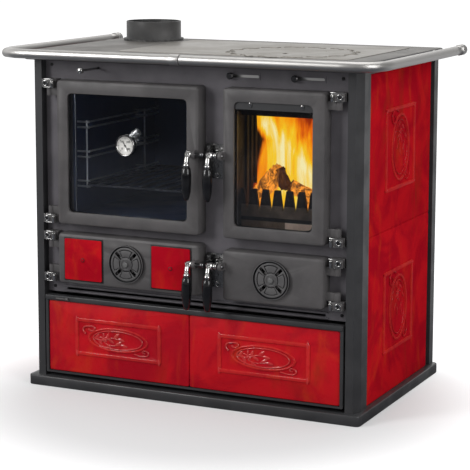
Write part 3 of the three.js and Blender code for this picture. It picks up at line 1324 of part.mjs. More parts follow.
makePlinth();
makeSideFrames();
makeSideTiles();
makeFrontPlate();
makeBackPanel();
makeTopCasting();
makeHob();
makeFlueCollar();
makeRail();
makeOvenDoor();
makeFireDoor();
makeSootDoor();
makeAshDoor();
makeHinges();
makeHandles();
makeCatches();
makeAirSlides();
makeDamper();
makeDrawer();
makeOvenLiner();
makeOvenRacks();
makeFirebox();
makeGrate();
makeLogGuard();
makeAshPan();

// The origin lies under the middle of everything, rail included.
model.position.y = -(FOREMOST + RAIL_TIP) / 2;

const cooker = new THREE.Group();
cooker.add(model);
export default cooker;
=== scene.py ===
"""A wood-burning cast iron range cooker with red glazed tiles, dressed for its portrait.

Lengths in the helpers are millimetres of the cooker's own frame: X along the front, Y back from the
front face of the corner posts, Z up from the floor. place() turns them into metres of the model.
"""

from functools import partial
from math import copysign, cos, hypot, pi, radians, sin, tau

import bmesh
import bpy
from mathutils import Matrix, Vector


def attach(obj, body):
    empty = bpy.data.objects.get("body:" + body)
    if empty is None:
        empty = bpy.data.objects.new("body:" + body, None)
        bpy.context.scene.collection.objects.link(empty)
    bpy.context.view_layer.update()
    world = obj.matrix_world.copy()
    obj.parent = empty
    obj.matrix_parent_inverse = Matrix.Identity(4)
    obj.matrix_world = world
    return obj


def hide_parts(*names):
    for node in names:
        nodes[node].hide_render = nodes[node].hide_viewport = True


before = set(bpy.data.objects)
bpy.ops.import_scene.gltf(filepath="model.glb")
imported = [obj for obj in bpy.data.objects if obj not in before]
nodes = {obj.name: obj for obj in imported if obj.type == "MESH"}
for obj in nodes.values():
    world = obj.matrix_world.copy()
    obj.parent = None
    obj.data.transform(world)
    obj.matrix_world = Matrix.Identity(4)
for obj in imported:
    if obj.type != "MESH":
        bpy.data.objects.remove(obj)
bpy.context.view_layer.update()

POSTS_FRONT = -246.75  # where the posts' front face lies in the model, in millimetres
DOOR_FACE, PLATE_FACE, BACK_FACE = -18, 22, 542.05  # depths
TILE_FACE_SIDE = 438.3  # X of the side tiles
TILE_FACE_DRAWER = -0.3
TILE_MIDDLE_DEPTH = 281.5
HOB_RING, HOB_TOP = (175, 225), 858
RAIL_DEPTH, RAIL_HEIGHT = -58, 853
DIAL_X, DIAL_Z = -165.5, 634
OVEN_WINDOW = (-328.5, 3.5), (457.5, 756)
FIRE_WINDOW = (128.2, 331.5), (457, 756.5)
WINDOW_CORNER = 12
SOOT_TILES, SOOT_TILE_MIDDLE = ((-338, -233), (-92, 13)), 339.25
ROSETTES = {"soot": (-162.5, 339.25), "ash": (229.85, 335.25)}
CATCH_HEIGHTS = (626, 358)
FIREBOX_SIDES = (122, 338)
DOORS = ("oven", "soot", "fire", "ash")


def place(x, y, z):
    return Vector((x, y + POSTS_FRONT, z)) / 1000


def forward_of(y):
    """The level, along the direction to the front, of a depth in millimetres."""
    return -(y + POSTS_FRONT) / 1000


# ---- modelling by hand
def fresh():
    """Nothing selected."""
    bpy.ops.object.select_all(action="DESELECT")


def edit():
    bpy.ops.object.mode_set(mode="EDIT")
    bpy.ops.mesh.select_mode(type="FACE")
    bpy.ops.mesh.select_all(action="SELECT")


def leave():
    bpy.ops.object.mode_set(mode="OBJECT")


def pick(test):
    """In edit mode, select the faces whose centre (mm) and normal pass the test."""
    piece = bpy.context.object
    world = piece.matrix_world
    turn = world.to_3x3().inverted().transposed()
    faces = bmesh.from_edit_mesh(piece.data)
    for face in faces.faces:
        centre = world @ face.calc_center_median() * 1000
        centre.y -= POSTS_FRONT
        face.select_set(bool(test(centre, (turn @ face.normal).normalized())))
    bmesh.update_edit_mesh(piece.data)


def pick_facing(axis, sign=1):
    """In edit mode, select the faces that look along an axis."""
    pick(lambda centre, normal: getattr(normal, axis) * sign > 0.9)


def push_in(width, depth=0):
    """In edit mode, inset the picked faces, and sink them along Y if asked (mm)."""
    bpy.ops.mesh.inset(thickness=width / 1000)
    if depth:
        bpy.ops.mesh.extrude_region_move(TRANSFORM_OT_translate={"value": (0, depth / 1000, 0)})


def hollow(wall):
    """In edit mode, open the two picked ends of a solid and leave walls this thick (mm)."""
    push_in(wall)
    bpy.ops.mesh.delete(type="FACE")
    bpy.ops.mesh.select_mode(type="EDGE")
    bpy.ops.mesh.select_all(action="DESELECT")
    bpy.ops.mesh.select_non_manifold()
    bpy.ops.mesh.bridge_edge_loops()


def face_out(merge=False):
    """In edit mode, turn all faces outward, with doubled points merged first if asked."""
    if merge:
        bpy.ops.mesh.remove_doubles(threshold=0.00001)
    bpy.ops.mesh.select_all(action="SELECT")
    bpy.ops.mesh.normals_make_consistent(inside=False)


def on_circle(x, z, radius, degrees):
    """The X and Z of a point on a circle across the front."""
    a = radians(degrees)
    return x + radius * cos(a), z + radius * sin(a)


def turn_about(piece, x, z, degrees):
    """Turn a piece about a line along Y (mm)."""
    pivot = Matrix.Translation(place(x, 0, z))
    piece.data.transform(pivot @ Matrix.Rotation(radians(degrees), 4, "Y") @ pivot.inverted())


def round_edges(piece, width, segments=2, angle=40):
    bevel = piece.modifiers.new("round", "BEVEL")
    bevel.width = width / 1000
    bevel.segments = segments
    bevel.limit_method = "ANGLE"
    bevel.angle_limit = radians(angle)
    bpy.context.view_layer.objects.active = piece
    bpy.ops.object.modifier_apply(modifier=bevel.name)


def settled(piece, edge, segments):
    bpy.ops.object.transform_apply()
    if edge:
        round_edges(piece, edge, segments)
    return piece


def slab(x, y, z, edge=0, segments=2):
    """A block between the given lowest and highest X, Y and Z, with its edges rounded if asked."""
    fresh()
    middle = place((x[0] + x[1]) / 2, (y[0] + y[1]) / 2, (z[0] + z[1]) / 2)
    bpy.ops.mesh.primitive_cube_add(size=1, location=middle)
    piece = bpy.context.object
    piece.scale = ((x[1] - x[0]) / 1000, (y[1] - y[0]) / 1000, (z[1] - z[0]) / 1000)
    return settled(piece, edge, segments)


def round_bar(radius, start, end, sides=24, edge=0, segments=2):
    """A round bar from start to end (mm), with its edges rounded if asked."""
    fresh()
    a, b = place(*start), place(*end)
    along = b - a
    bpy.ops.mesh.primitive_cylinder_add(
        vertices=sides, radius=radius / 1000, depth=along.length, location=(a + b) / 2,
    )
    piece = bpy.context.object
    piece.rotation_mode = "QUATERNION"
    piece.rotation_quaternion = along.to_track_quat("Z", "Y")
    return settled(piece, edge, segments)


def wire(points, radius, closed=False, steps=6, sides=2):
    """A round wire through the points (mm), made a mesh."""
    fresh()
    bpy.ops.curve.primitive_bezier_curve_add(location=(0, 0, 0))
    piece = bpy.context.object
    curve = piece.data
    curve.dimensions = "3D"
    curve.resolution_u = steps
    curve.bevel_depth = radius / 1000
    curve.bevel_resolution = sides
    curve.use_fill_caps = True
    spline = curve.splines[0]
    spline.bezier_points.add(len(points) - len(spline.bezier_points))
    spline.use_cyclic_u = closed
    for knot, point in zip(spline.bezier_points, points):
        knot.co = place(*point)
        knot.handle_left_type = knot.handle_right_type = "AUTO"
        knot.radius = 1
    bpy.ops.object.convert(target="MESH")
    return bpy.context.object


def joined(parts):
    fresh()
    for part in parts:
        part.select_set(True)
    bpy.context.view_layer.objects.active = parts[0]
    if len(parts) > 1:
        bpy.ops.object.join()
    return bpy.context.object


def finish_piece(piece, name, finish, body="cooker_body", angle=35):
    """Name, smooth and paint a piece or a list of parts, and make it move with its body."""
    if isinstance(piece, list):
        piece = joined(piece)
    fresh()
    piece.select_set(True)
    bpy.context.view_layer.objects.active = piece
    bpy.ops.object.transform_apply()
    bpy.ops.object.shade_smooth_by_angle(angle=radians(angle))
    piece.name = name
    piece.data.materials.clear()
    piece.data.materials.append(finish)
    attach(piece, body)
    return piece


# ---- shared effects
def fill(socket, value):
    """Link another socket into this one, or set it to a number, a vector or a colour."""
    if isinstance(value, bpy.types.NodeSocket):
        socket.id_data.links.new(value, socket)
    elif isinstance(value, tuple) and len(socket.default_value) == 4:
        socket.default_value = (*value, 1)
    else:
        socket.default_value = value


def reckon(kind, a, b):
    """A Math node on two sockets or numbers."""
    tree = (b if isinstance(a, (int, float)) else a).id_data
    node = tree.nodes.new("ShaderNodeMath")
    node.operation = kind
    fill(node.inputs[0], a)
    fill(node.inputs[1], b)
    return node.outputs[0]


times = partial(reckon, "MULTIPLY")
plus = partial(reckon, "ADD")
minus = partial(reckon, "SUBTRACT")
larger = partial(reckon, "MAXIMUM")


def vector_node(kind, a, b=(0, 0, 0)):
    node = a.id_data.nodes.new("ShaderNodeVectorMath")
    node.operation = kind
    fill(node.inputs[0], a)
    fill(node.inputs[1], b)
    return node.outputs


def spread(value, low, high, to_low=0, to_high=1):
    """Map a value from one range to another, smoothly and within its ends."""
    node = value.id_data.nodes.new("ShaderNodeMapRange")
    node.interpolation_type = "SMOOTHSTEP"
    for socket, number in zip(node.inputs, (value, low, high, to_low, to_high)):
        fill(socket, number)
    return node.outputs[0]


def spot(tree):
    """The place on the piece, in metres."""
    return tree.nodes.new("ShaderNodeTexCoord").outputs["Object"]


def parts_of(vector):
    node = vector.id_data.nodes.new("ShaderNodeSeparateXYZ")
    fill(node.inputs[0], vector)
    return node.outputs


def stretched(where, turn, size):
    node = where.id_data.nodes.new("ShaderNodeMapping")
    for label, value in (("Vector", where), ("Rotation", turn), ("Scale", size)):
        fill(node.inputs[label], value)
    return node.outputs[0]


def noise(where, scale, detail=3, rough=0.5, twist=0):
    node = where.id_data.nodes.new("ShaderNodeTexNoise")
    labels = ("Vector", "Scale", "Detail", "Roughness", "Distortion")
    for label, value in zip(labels, (where, scale, detail, rough, twist)):
        fill(node.inputs[label], value)
    return node.outputs[0]


def effect(name, inputs, outputs):
    group = bpy.data.node_groups.new(name, "ShaderNodeTree")
    for label, value in inputs.items():
        kind = "NodeSocketVector" if isinstance(value, tuple) else "NodeSocketFloat"
        group.interface.new_socket(label, in_out="INPUT", socket_type=kind).default_value = value
    for label in outputs:
        group.interface.new_socket(label, in_out="OUTPUT", socket_type="NodeSocketFloat")
    given = group.nodes.new("NodeGroupInput").outputs
    return group, given, group.nodes.new("NodeGroupOutput").inputs


def grain_effect():
    """Fine cast grain with slow patches of tone."""
    group, given, result = effect("cast_grain", {"Grain": 900, "Patches": 14}, ("Tone", "Relief"))
    fine = noise(spot(group), given["Grain"], 2, 0.6)
    slow = noise(spot(group), given["Patches"], 4, 0.55)
    fill(result["Tone"], spread(slow, 0.32, 0.68))
    fill(result["Relief"], plus(fine, times(slow, 0.35)))
    return group


def brushing_effect():
    """Fine parallel scratches, with the stretch of the pattern given as a vector."""
    group, given, result = effect("brushing", {"Stretch": (1, 40, 40), "Scale": 60}, ("Tone", "Relief"))
    lines = noise(vector_node("MULTIPLY", spot(group), given["Stretch"])[0], given["Scale"], 3, 0.6)
    fill(result["Tone"], lines)
    fill(result["Relief"], lines)
    return group


def level_effect():
    """1 where the place along Axis is beyond Level, 0 below it, with a soft step."""
    group, given, result = effect(
        "beyond_level", {"Axis": (0, 0, 1), "Level": 0, "Step": 0.001}, ("Mask",),
    )
    along = vector_node("DOT_PRODUCT", spot(group), given["Axis"])["Value"]
    fill(result["Mask"], spread(along, given["Level"], plus(given["Level"], given["Step"])))
    return group


def radius_effect():
    """Distance from a centre, with one axis left out: the measure for turned faces and dials."""
    group, given, result = effect(
        "distance_from", {"Centre": (0, 0, 0), "Keep": (1, 1, 0)}, ("Distance",),
    )
    away = vector_node("SUBTRACT", spot(group), given["Centre"])[0]
    kept = vector_node("MULTIPLY", away, given["Keep"])[0]
    fill(result["Distance"], vector_node("LENGTH", kept)["Value"])
    return group


UP, DOWN = (0, 0, 1), (0, 0, -1)
TO_FRONT, TO_BACK = (0, -1, 0), (0, 1, 0)
TO_RIGHT, TO_LEFT = (1, 0, 0), (-1, 0, 0)
ACROSS = (1, 0, 1)  # measured across the front, whatever the depth
GRAIN = grain_effect()
BRUSHING = brushing_effect()
BEYOND = level_effect()
DISTANCE = radius_effect()


# ---- finishes
def shader_of(name, roughness, metallic=0, coat=0, specular=0.5):
    finish = bpy.data.materials.new(name)
    finish.use_nodes = True
    shader = finish.node_tree.nodes["Principled BSDF"]
    for label, value in (("Roughness", roughness), ("Metallic", metallic), ("Coat Weight", coat),
                         ("Coat Roughness", 0.04), ("Specular IOR Level", specular)):
        feed(shader, label, value)
    return finish, finish.node_tree, shader


def use(tree, group, **values):
    """The outputs of a shared effect with these inputs."""
    node = tree.nodes.new("ShaderNodeGroup")
    node.node_tree = group
    for label, value in values.items():
        node.inputs[label].default_value = value
    return node.outputs


def beyond(tree, axis, level, step):
    return use(tree, BEYOND, Axis=axis, Level=level, Step=step)["Mask"]


def distance(tree, centre, keep=(1, 1, 0)):
    return use(tree, DISTANCE, Centre=centre, Keep=keep)["Distance"]


def tint(amount, low, high):
    """A colour between low and high, led by a socket from 0 to 1."""
    node = amount.id_data.nodes.new("ShaderNodeMix")
    node.data_type = "RGBA"
    for k, value in ((0, amount), (6, low), (7, high)):
        fill(node.inputs[k], value)
    return node.outputs[2]


def feed(shader, label, value):
    fill(shader.inputs[label], value)


def paint(shader, amount, low, high):
    feed(shader, "Base Color", tint(amount, low, high))


def roughen(shader, height, strength, depth):
    bump = shader.id_data.nodes.new("ShaderNodeBump")
    for label, value in (("Strength", strength), ("Distance", depth), ("Height", height)):
        fill(bump.inputs[label], value)
    feed(shader, "Normal", bump.outputs[0])


def casting(name, dark, light, roughness=0.5, grain=900, strength=0.35, specular=0.2):
    """Cast iron with a satin skin."""
    finish, tree, shader = shader_of(name, roughness, specular=specular)
    skin = use(tree, GRAIN, Grain=grain)
    paint(shader, skin["Tone"], dark, light)
    rough = spread(skin["Tone"], 0, 1, roughness + 0.06, roughness - 0.06)
    feed(shader, "Roughness", rough)
    roughen(shader, skin["Relief"], strength, 0.0006)
    return finish


def brushed(name, dark, light, stretch, roughness=0.35, strength=0.15, metallic=1):
    finish, tree, shader = shader_of(name, roughness, metallic=metallic)
    lines = use(tree, BRUSHING, Stretch=stretch)
    paint(shader, lines["Tone"], dark, light)
    rough = spread(lines["Tone"], 0.3, 0.7, roughness - 0.07, roughness + 0.09)
    feed(shader, "Roughness", rough)
    roughen(shader, lines["Relief"], strength, 0.0004)
    return finish


def hob_steel(name, rings):
    """Ground hob steel, darker and browner round the hottest place, with turned rings if asked."""
    finish, tree, shader = shader_of(name, 0.42, metallic=0.75)
    lines = use(tree, BRUSHING, Stretch=(1.5, 50, 50), Scale=40)
    heat = distance(tree, place(*HOB_RING, HOB_TOP))
    warm = spread(heat, 0.05, 0.3)
    ground = tint(lines["Tone"], (0.22, 0.205, 0.185), (0.34, 0.32, 0.29))
    used = tint(lines["Tone"], (0.19, 0.175, 0.15), (0.3, 0.28, 0.25))
    paint(shader, warm, used, ground)
    stains = noise(spot(tree), 9, 5, 0.6)
    feed(shader, "Roughness", spread(stains, 0.3, 0.7, 0.34, 0.52))
    height = lines["Relief"]
    if rings:
        turned = reckon("SINE", times(heat, 900), 0)
        height = plus(height, times(turned, 0.5))
    roughen(shader, height, 0.2, 0.0004)
    return finish


def top_iron():
    """The top casting: its upper face ground bright and painted lighter, partly as a painted sheen of
    grazing reflection, and dark iron on its edge.
    """
    finish, tree, shader = shader_of("top_iron", 0.48, specular=0.3)
    skin = use(tree, GRAIN, Grain=700)
    face = beyond(tree, UP, 0.8557, 0.0008)
    edge = tint(skin["Tone"], (0.042, 0.041, 0.044), (0.058, 0.056, 0.058))
    # the upper face's lighter tone: ground metal, and a painted sheen where the top catches reflected light
    ground = tint(skin["Tone"], (0.12, 0.113, 0.105), (0.18, 0.17, 0.158))
    paint(shader, face, edge, ground)
    feed(shader, "Metallic", spread(face, 0, 1, 0, 0.4))
    roughen(shader, skin["Relief"], 0.25, 0.0005)
    return finish


def glaze(name, axis, level, gloss=0.08, specular=0, pale=(0.6, 0.048, 0.026)):
    """Mottled red glaze that runs thin and pale over the raised mouldings; the pale tone on their slopes is
    also a painted highlight.
    """
    finish, tree, shader = shader_of(name, 0.3, specular=specular)
    where = spot(tree)
    run = stretched(where, (0.35, 0.3, 0.1), (1, 1, 0.34))
    wash = noise(where, 6.5, 4, 0.55, 1.4)
    streaks = noise(run, 10, 5, 0.6, 2)
    smoke = noise(run, 7, 4, 0.6, 1.6)
    cloud = noise(where, 60, 3, 0.5)
    deep = tint(spread(wash, 0.36, 0.64), (0.335, 0.0042, 0.0125), (0.47, 0.0075, 0.0135))
    amber = spread(streaks, 0.5, 0.74, 0, 0.45)
    red = tint(amber, deep, (0.5, 0.04, 0.01))
    red = tint(spread(smoke, 0.56, 0.76, 0, 0.5), red, (0.22, 0.022, 0.008))
    thin = beyond(tree, axis, level, 0.0008)
    crest = beyond(tree, axis, level + 0.0017, 0.0006)
    # painted highlight: the slopes of the mouldings are painted pale, both as thin glaze and as the light
    # they catch
    edges = minus(thin, times(crest, 0.7))
    patches = times(edges, spread(cloud, 0.3, 0.7, 0.35, 0.85))
    paint(shader, patches, red, pale)
    feed(shader, "Coat Weight", times(thin, gloss))
    feed(shader, "Roughness", spread(cloud, 0.3, 0.7, 0.26, 0.36))
    wave = plus(wash, times(streaks, 0.3))
    roughen(shader, wave, 0.3, 0.004)
    return finish


def door_glass():
    finish, tree, shader = shader_of("door_glass", 0.02, specular=0.4)
    feed(shader, "Base Color", (0.95, 0.96, 0.97))
    feed(shader, "Transmission Weight", 1)
    feed(shader, "IOR", 1.47)
    where = spot(tree)
    haze = noise(where, 22, 4, 0.6)
    feed(shader, "Roughness", spread(haze, 0.4, 0.75, 0.01, 0.05))
    return finish


def enamel(name, dark, fleck, fleck_scale, roughness):
    """Dark stove enamel with small flecks and a film of soot."""
    finish, tree, shader = shader_of(name, roughness, specular=0.5)
    where = spot(tree)
    dots = noise(where, fleck_scale, 2, 0.6)
    soot = noise(where, 11, 4, 0.6)
    paint(shader, spread(dots, 0.6, 0.72), dark, fleck)
    feed(shader, "Roughness", spread(soot, 0.3, 0.7, roughness, roughness + 0.25))
    roughen(shader, dots, 0.12, 0.0003)
    return finish


def guard_iron():
    """The log guard: burnt iron, with a rust-brown lower plate, a near-black band under it as painted shade,
    and a brick-brown foot that turns pale on the right.
    """
    finish, tree, shader = shader_of("guard_iron", 0.75, specular=0.1)
    skin = use(tree, GRAIN, Grain=500, Patches=30)
    plate = beyond(tree, DOWN, -0.5035, 0.002)
    # painted shade: a near-black band just under the plate
    shade = beyond(tree, DOWN, -0.474, 0.002)
    foot = beyond(tree, DOWN, -0.4645, 0.0015)
    right = beyond(tree, TO_RIGHT, 0.234, 0.003)
    iron, rust, brick, pale_right = (tint(skin["Tone"], dark, light) for dark, light in (
        ((0.012, 0.009, 0.007), (0.03, 0.022, 0.018)), ((0.085, 0.062, 0.046), (0.15, 0.112, 0.085)),
        ((0.1, 0.066, 0.045), (0.17, 0.115, 0.08)), ((0.62, 0.47, 0.38), (0.8, 0.62, 0.5)),
    ))
    body = tint(plate, iron, rust)
    body = tint(shade, body, (0.008, 0.006, 0.005))
    # the foot: brick-brown, turning pale towards the right
    ash = tint(right, brick, pale_right)
    paint(shader, foot, body, ash)
    roughen(shader, skin["Relief"], 0.4, 0.0008)
    return finish


def slide_finish():
    """An air slide: dark turned knob in front, bright zinc strip behind it in the slot."""
    finish, tree, shader = shader_of("slide_zinc", 0.3, metallic=1)
    front = beyond(tree, TO_FRONT, forward_of(20.95), 0.0004)
    lines = use(tree, BRUSHING, Stretch=(4, 30, 60), Scale=80)
    strip = tint(lines["Tone"], (0.42, 0.41, 0.4), (0.6, 0.59, 0.58))
    knob = tint(lines["Tone"], (0.1, 0.1, 0.1), (0.3, 0.29, 0.29))
    paint(shader, front, strip, knob)
    feed(shader, "Roughness", spread(front, 0, 1, 0.35, 0.15))
    return finish


def dial_finish():
    """White printed face inside a polished rim."""
    finish, tree, shader = shader_of("dial_face", 0.2)
    centre = distance(tree, place(DIAL_X, 0, DIAL_Z), ACROSS)
    rim = spread(centre, 0.0224, 0.0228)
    front = beyond(tree, TO_FRONT, forward_of(-9.75), 0.0004)
    metal = larger(rim, minus(1, front))
    film = use(tree, GRAIN, Grain=400, Patches=60)
    paper = tint(film["Tone"], (0.62, 0.61, 0.585), (0.74, 0.73, 0.7))
    paint(shader, metal, paper, (0.34, 0.335, 0.33))
    feed(shader, "Metallic", metal)
    return finish


def lever_finish():
    """The latch gear: bright elbow and neck at each lever, darker turned shaft between them."""
    finish, tree, shader = shader_of("lever_chrome", 0.14, metallic=1)
    near = []
    for x in (18, 74, 94):
        away = distance(tree, (x / 1000, 0, 0), TO_RIGHT)
        near.append(spread(away, 0.0095, 0.0115, 1, 0))
    bright = larger(larger(near[0], near[1]), near[2])
    lines = use(tree, BRUSHING, Stretch=(30, 30, 2))
    shaft = tint(lines["Tone"], (0.13, 0.13, 0.135), (0.24, 0.24, 0.245))
    elbow = tint(lines["Tone"], (0.55, 0.55, 0.54), (0.85, 0.84, 0.83))
    paint(shader, bright, shaft, elbow)
    feed(shader, "Roughness", spread(bright, 0, 1, 0.3, 0.14))
    return finish


def glossy_black():
    finish, tree, shader = shader_of("grip_black", 0.14, coat=0.3, specular=0.45)
    skin = use(tree, GRAIN, Grain=300, Patches=40)
    paint(shader, skin["Tone"], (0.004, 0.004, 0.005), (0.009, 0.009, 0.01))
    feed(shader, "Roughness", spread(skin["Tone"], 0, 1, 0.12, 0.2))
    roughen(shader, skin["Relief"], 0.05, 0.0003)
    return finish


door_iron = casting("door_iron", (0.069, 0.0655, 0.067), (0.091, 0.086, 0.087), 0.46, 900, 0.35, 0.25)
panel_paint = casting("panel_paint", (0.1, 0.094, 0.104), (0.13, 0.122, 0.134), 0.42, 1200, 0.2)
bracket_iron = casting("bracket_iron", (0.07, 0.066, 0.067), (0.1, 0.095, 0.095), 0.4, 800, 0.3, 0.35)
black_screw = casting("black_screw", (0.008, 0.008, 0.009), (0.018, 0.017, 0.018), 0.45, 800, 0.2, 0.3)
frame_paint = casting("frame_paint", (0.026, 0.026, 0.028), (0.04, 0.04, 0.042), 0.36, 1200, 0.15, 0.5)
flue_iron = casting("flue_iron", (0.032, 0.032, 0.032), (0.052, 0.05, 0.049), 0.45, 500, 0.3, 0.4)
firebox_iron = casting("firebox_iron", (0.012, 0.01, 0.01), (0.035, 0.028, 0.024), 0.7, 350, 0.6)
back_paint = casting("back_paint", (0.04, 0.04, 0.042), (0.055, 0.054, 0.056), 0.5, 900, 0.2)
hob_plate_steel = hob_steel("hob_plate_steel", False)
hob_ring_steel = hob_steel("hob_ring_steel", True)
top_casting_iron = top_iron()
rail_chrome = brushed("rail_chrome", (0.5, 0.49, 0.475), (0.6, 0.585, 0.565), (2, 30, 60), 0.4, 0)
fitting_chrome = brushed("fitting_chrome", (0.38, 0.38, 0.37), (0.64, 0.63, 0.62), (30, 30, 2), 0.12, 0.04)
catch_steel = brushed("catch_steel", (0.16, 0.16, 0.16), (0.34, 0.335, 0.33), (30, 30, 4), 0.22, 0.05)
zinc_wire = brushed("zinc_wire", (0.62, 0.64, 0.68), (0.85, 0.87, 0.92), (10, 10, 10), 0.4, 0.1, 0.5)
probe_steel = brushed("probe_steel", (0.7, 0.7, 0.7), (0.92, 0.92, 0.92), (10, 10, 10), 0.3, 0.05, 0.4)
dark_wire = brushed("dark_wire", (0.11, 0.12, 0.15), (0.2, 0.21, 0.25), (10, 10, 10), 0.45, 0.1, 0.5)
# painted shade: the oven shelf's wire is painted dark, as it sits in the dim oven
shelf_wire_painted_shade = brushed("shelf_wire_painted_shade", (0.022, 0.026, 0.038), (0.042, 0.048, 0.066), (10, 10, 10), 0.7, 0.1, 0)
pan_steel = brushed("pan_steel", (0.3, 0.29, 0.28), (0.42, 0.41, 0.4), (2, 30, 30), 0.45, 0.15)
side_glaze_right = glaze("side_glaze_right", TO_RIGHT, 0.4388)
side_glaze_left = glaze("side_glaze_left", TO_LEFT, 0.4388)
drawer_glaze = glaze("drawer_glaze", TO_FRONT, forward_of(-0.85), 0.6, 0.06)
relief_glaze = glaze("relief_glaze", UP, -1, 1, 0.2, (0.7, 0.11, 0.085))
side_relief_glaze = glaze("side_relief_glaze", UP, -1, 0.2, 0, (0.5, 0.03, 0.02))
soot_glaze = glaze("soot_glaze", TO_FRONT, forward_of(-30))
window_glass = door_glass()
oven_enamel = enamel("oven_enamel", (0.038, 0.06, 0.135), (0.085, 0.12, 0.21), 1500, 0.35)
guard_finish = guard_iron()
dial_paint = dial_finish()
slide_zinc = slide_finish()
lever_chrome = lever_finish()
grip_black = glossy_black()
rope_black = casting("rope_black", (0.006, 0.006, 0.007), (0.02, 0.02, 0.021), 0.9, 700, 0.8, 0.1)
dial_ink = casting("dial_ink", (0.01, 0.01, 0.012), (0.03, 0.03, 0.034), 0.5, 900, 0.1, 0.3)

NODE_FINISHES = {
    door_iron: [
        "oven_door_frame", "fire_door_frame", "soot_door", "ash_door", "soot_rosette", "ash_rosette",
    ],
    panel_paint: ["front_plate"],
    slide_zinc: ["air_slide_left", "air_slide_right"],
    catch_steel: ["catch_upper", "catch_lower"],
    bracket_iron: [f"hinge_{door}_{end}" for door in DOORS for end in ("upper", "lower")],
    frame_paint: ["plinth", "side_frame_left", "side_frame_right", "drawer_box", "fire_glass_clip"],
    back_paint: ["back_panel"],
    flue_iron: ["flue_collar"],
    firebox_iron: ["firebox_liner", "fire_grate"],
    guard_finish: ["log_guard"],
    hob_plate_steel: ["hob_plate"],
    hob_ring_steel: ["hob_ring", "hob_lid"],
    top_casting_iron: ["top_casting"],
    rail_chrome: ["rail_left", "rail_right"],
    fitting_chrome: ["damper_rod"],
    lever_chrome: [f"{door}_lever" for door in DOORS],
    zinc_wire: ["rack_guide_left", "rack_guide_right"],
    shelf_wire_painted_shade: ["oven_shelf"],
    pan_steel: ["ash_pan"],
    side_glaze_right: ["side_tile_right_lower", "side_tile_right_upper"],
    side_glaze_left: ["side_tile_left_lower", "side_tile_left_upper"],
    drawer_glaze: ["drawer_tile_left", "drawer_tile_right"],
    soot_glaze: ["soot_tile_left", "soot_tile_right"],
    window_glass: ["oven_door_glass", "fire_door_glass"],
    oven_enamel: ["oven_liner"],
    dial_paint: ["oven_thermometer"],
    grip_black: [f"{door}_grip" for door in DOORS],
}


for node_finish, names in NODE_FINISHES.items():
    for node_name in names:
        materials = nodes[node_name].data.materials
        materials.clear()
        materials.append(node_finish)


# ---- surfaces that want softer edges
def softened(name, edge=0, angle=40, body="cooker_body"):
    """A copy of a piece with its faces merged, its edges rounded and its round faces smooth."""
    source = nodes[name]
    piece = source.copy()
    piece.data = source.data.copy()
    bpy.context.collection.objects.link(piece)
    piece.parent = None
    piece.matrix_world = source.matrix_world
    fresh()
    piece.select_set(True)
    bpy.context.view_layer.objects.active = piece
    edit()
    face_out(merge=True)
    if edge:
        bpy.ops.mesh.dissolve_limited(angle_limit=radians(1.5))
    leave()
    if edge:
        round_edges(piece, edge, 2, 30)
    finish = source.data.materials[0]
    finish_piece(piece, f"{name}_surface", finish, body, angle)
    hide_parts(name)
    return piece


def soften_rail():
    """The towel rail, with a smooth sleeve in its middle and, beside it, a dark ring at the joint of the two
    halves as painted shade for the gap there.
    """
    y, z = RAIL_DEPTH, RAIL_HEIGHT

    def on_sleeve(centre, normal):
        away = hypot(centre.y - y, centre.z - z)
        return abs(centre.x) < 25.6 and away < 16 and (away > 12.1 or abs(normal.x) > 0.9)

    for side in ("left", "right"):
        softened(f"rail_{side}", 0, 50)
        edit()
        pick(on_sleeve)
        bpy.ops.mesh.delete(type="FACE")
        leave()
    core = round_bar(12.1, (-43, y, z), (43, y, z), 48)
    sleeve = round_bar(13.3, (-20, y, z), (5.4, y, z), 48, edge=0.7, segments=3)
    finish_piece([core, sleeve], "rail_sleeve", rail_chrome)
    # painted shade: a dark ring where the gap between the two halves lies
    joint = round_bar(12.5, (5.2, y, z), (7.8, y, z), 48, edge=0.3)
    finish_piece(joint, "rail_joint_shade", bracket_iron)


def soften_nodes():
    doors = ("oven", "fire", "soot", "ash")
    soften_rail()
    for door in doors:
        softened(f"{door}_lever", 0, 50, f"{door}_handle")
        softened(f"{door}_grip", 0, 50, f"{door}_handle")
    softened("flue_collar", 0, 35)
    softened("damper_rod", 0, 50, "damper_rod")
    softened("hob_ring", 0, 8)
    softened("hob_lid", 0, 8, "hob_lid")
    softened("oven_thermometer", 0, 35, "oven_door")
    for name, body in (("oven_door_frame", "oven_door"), ("fire_door_frame", "fire_door"),
                       ("soot_door", "soot_door"), ("ash_door", "ash_door")):
        softened(name, 1.2, body=body)
    for side in ("left", "right"):
        softened(f"drawer_tile_{side}", 1.2, body="drawer")
        softened(f"soot_tile_{side}", 0.8, body="soot_door")
        for row in ("lower", "upper"):
            softened(f"side_tile_{side}_{row}", 1.2)
    softened("plinth", 2.5)
    softened("top_casting", 2)


soften_nodes()


# ---- relief on the tiles
# The ornament is drawn lying down: p runs along the oval, q up, both from -1 to 1 at the oval's edge.
STEM = [(-0.86, 0.05), (-0.62, -0.12), (-0.4, -0.02), (-0.2, 0.16), (-0.02, 0.12)]
TWIG = [(-0.5, -0.08), (-0.42, -0.38), (-0.18, -0.5), (0.1, -0.36)]
SWEEP = [(-0.62, -0.66), (-0.25, -0.8), (0.2, -0.74), (0.62, -0.52)]
SCROLL_TOP = [(-1.1, 0.3), (-1.18, 0.72), (-0.98, 1.02), (-0.78, 0.86), (-0.88, 0.62), (-1, 0.74)]
SCROLL_LOW = [(0.55, -1.02), (0.82, -1.12), (1.04, -0.92), (0.98, -0.66), (0.84, -0.76), (0.93, -0.88)]
LEAVES = [
    (-0.72, 0.12, 50), (-0.6, -0.3, -60), (-0.36, 0.18, 70), (-0.24, -0.1, -30), (-0.05, 0.34, 40),
    (0.1, 0.06, -10), (-0.3, -0.62, -40), (0.02, -0.3, 30), (0.2, -0.44, -8),
]
BLOSSOM = (-0.48, 0.06)


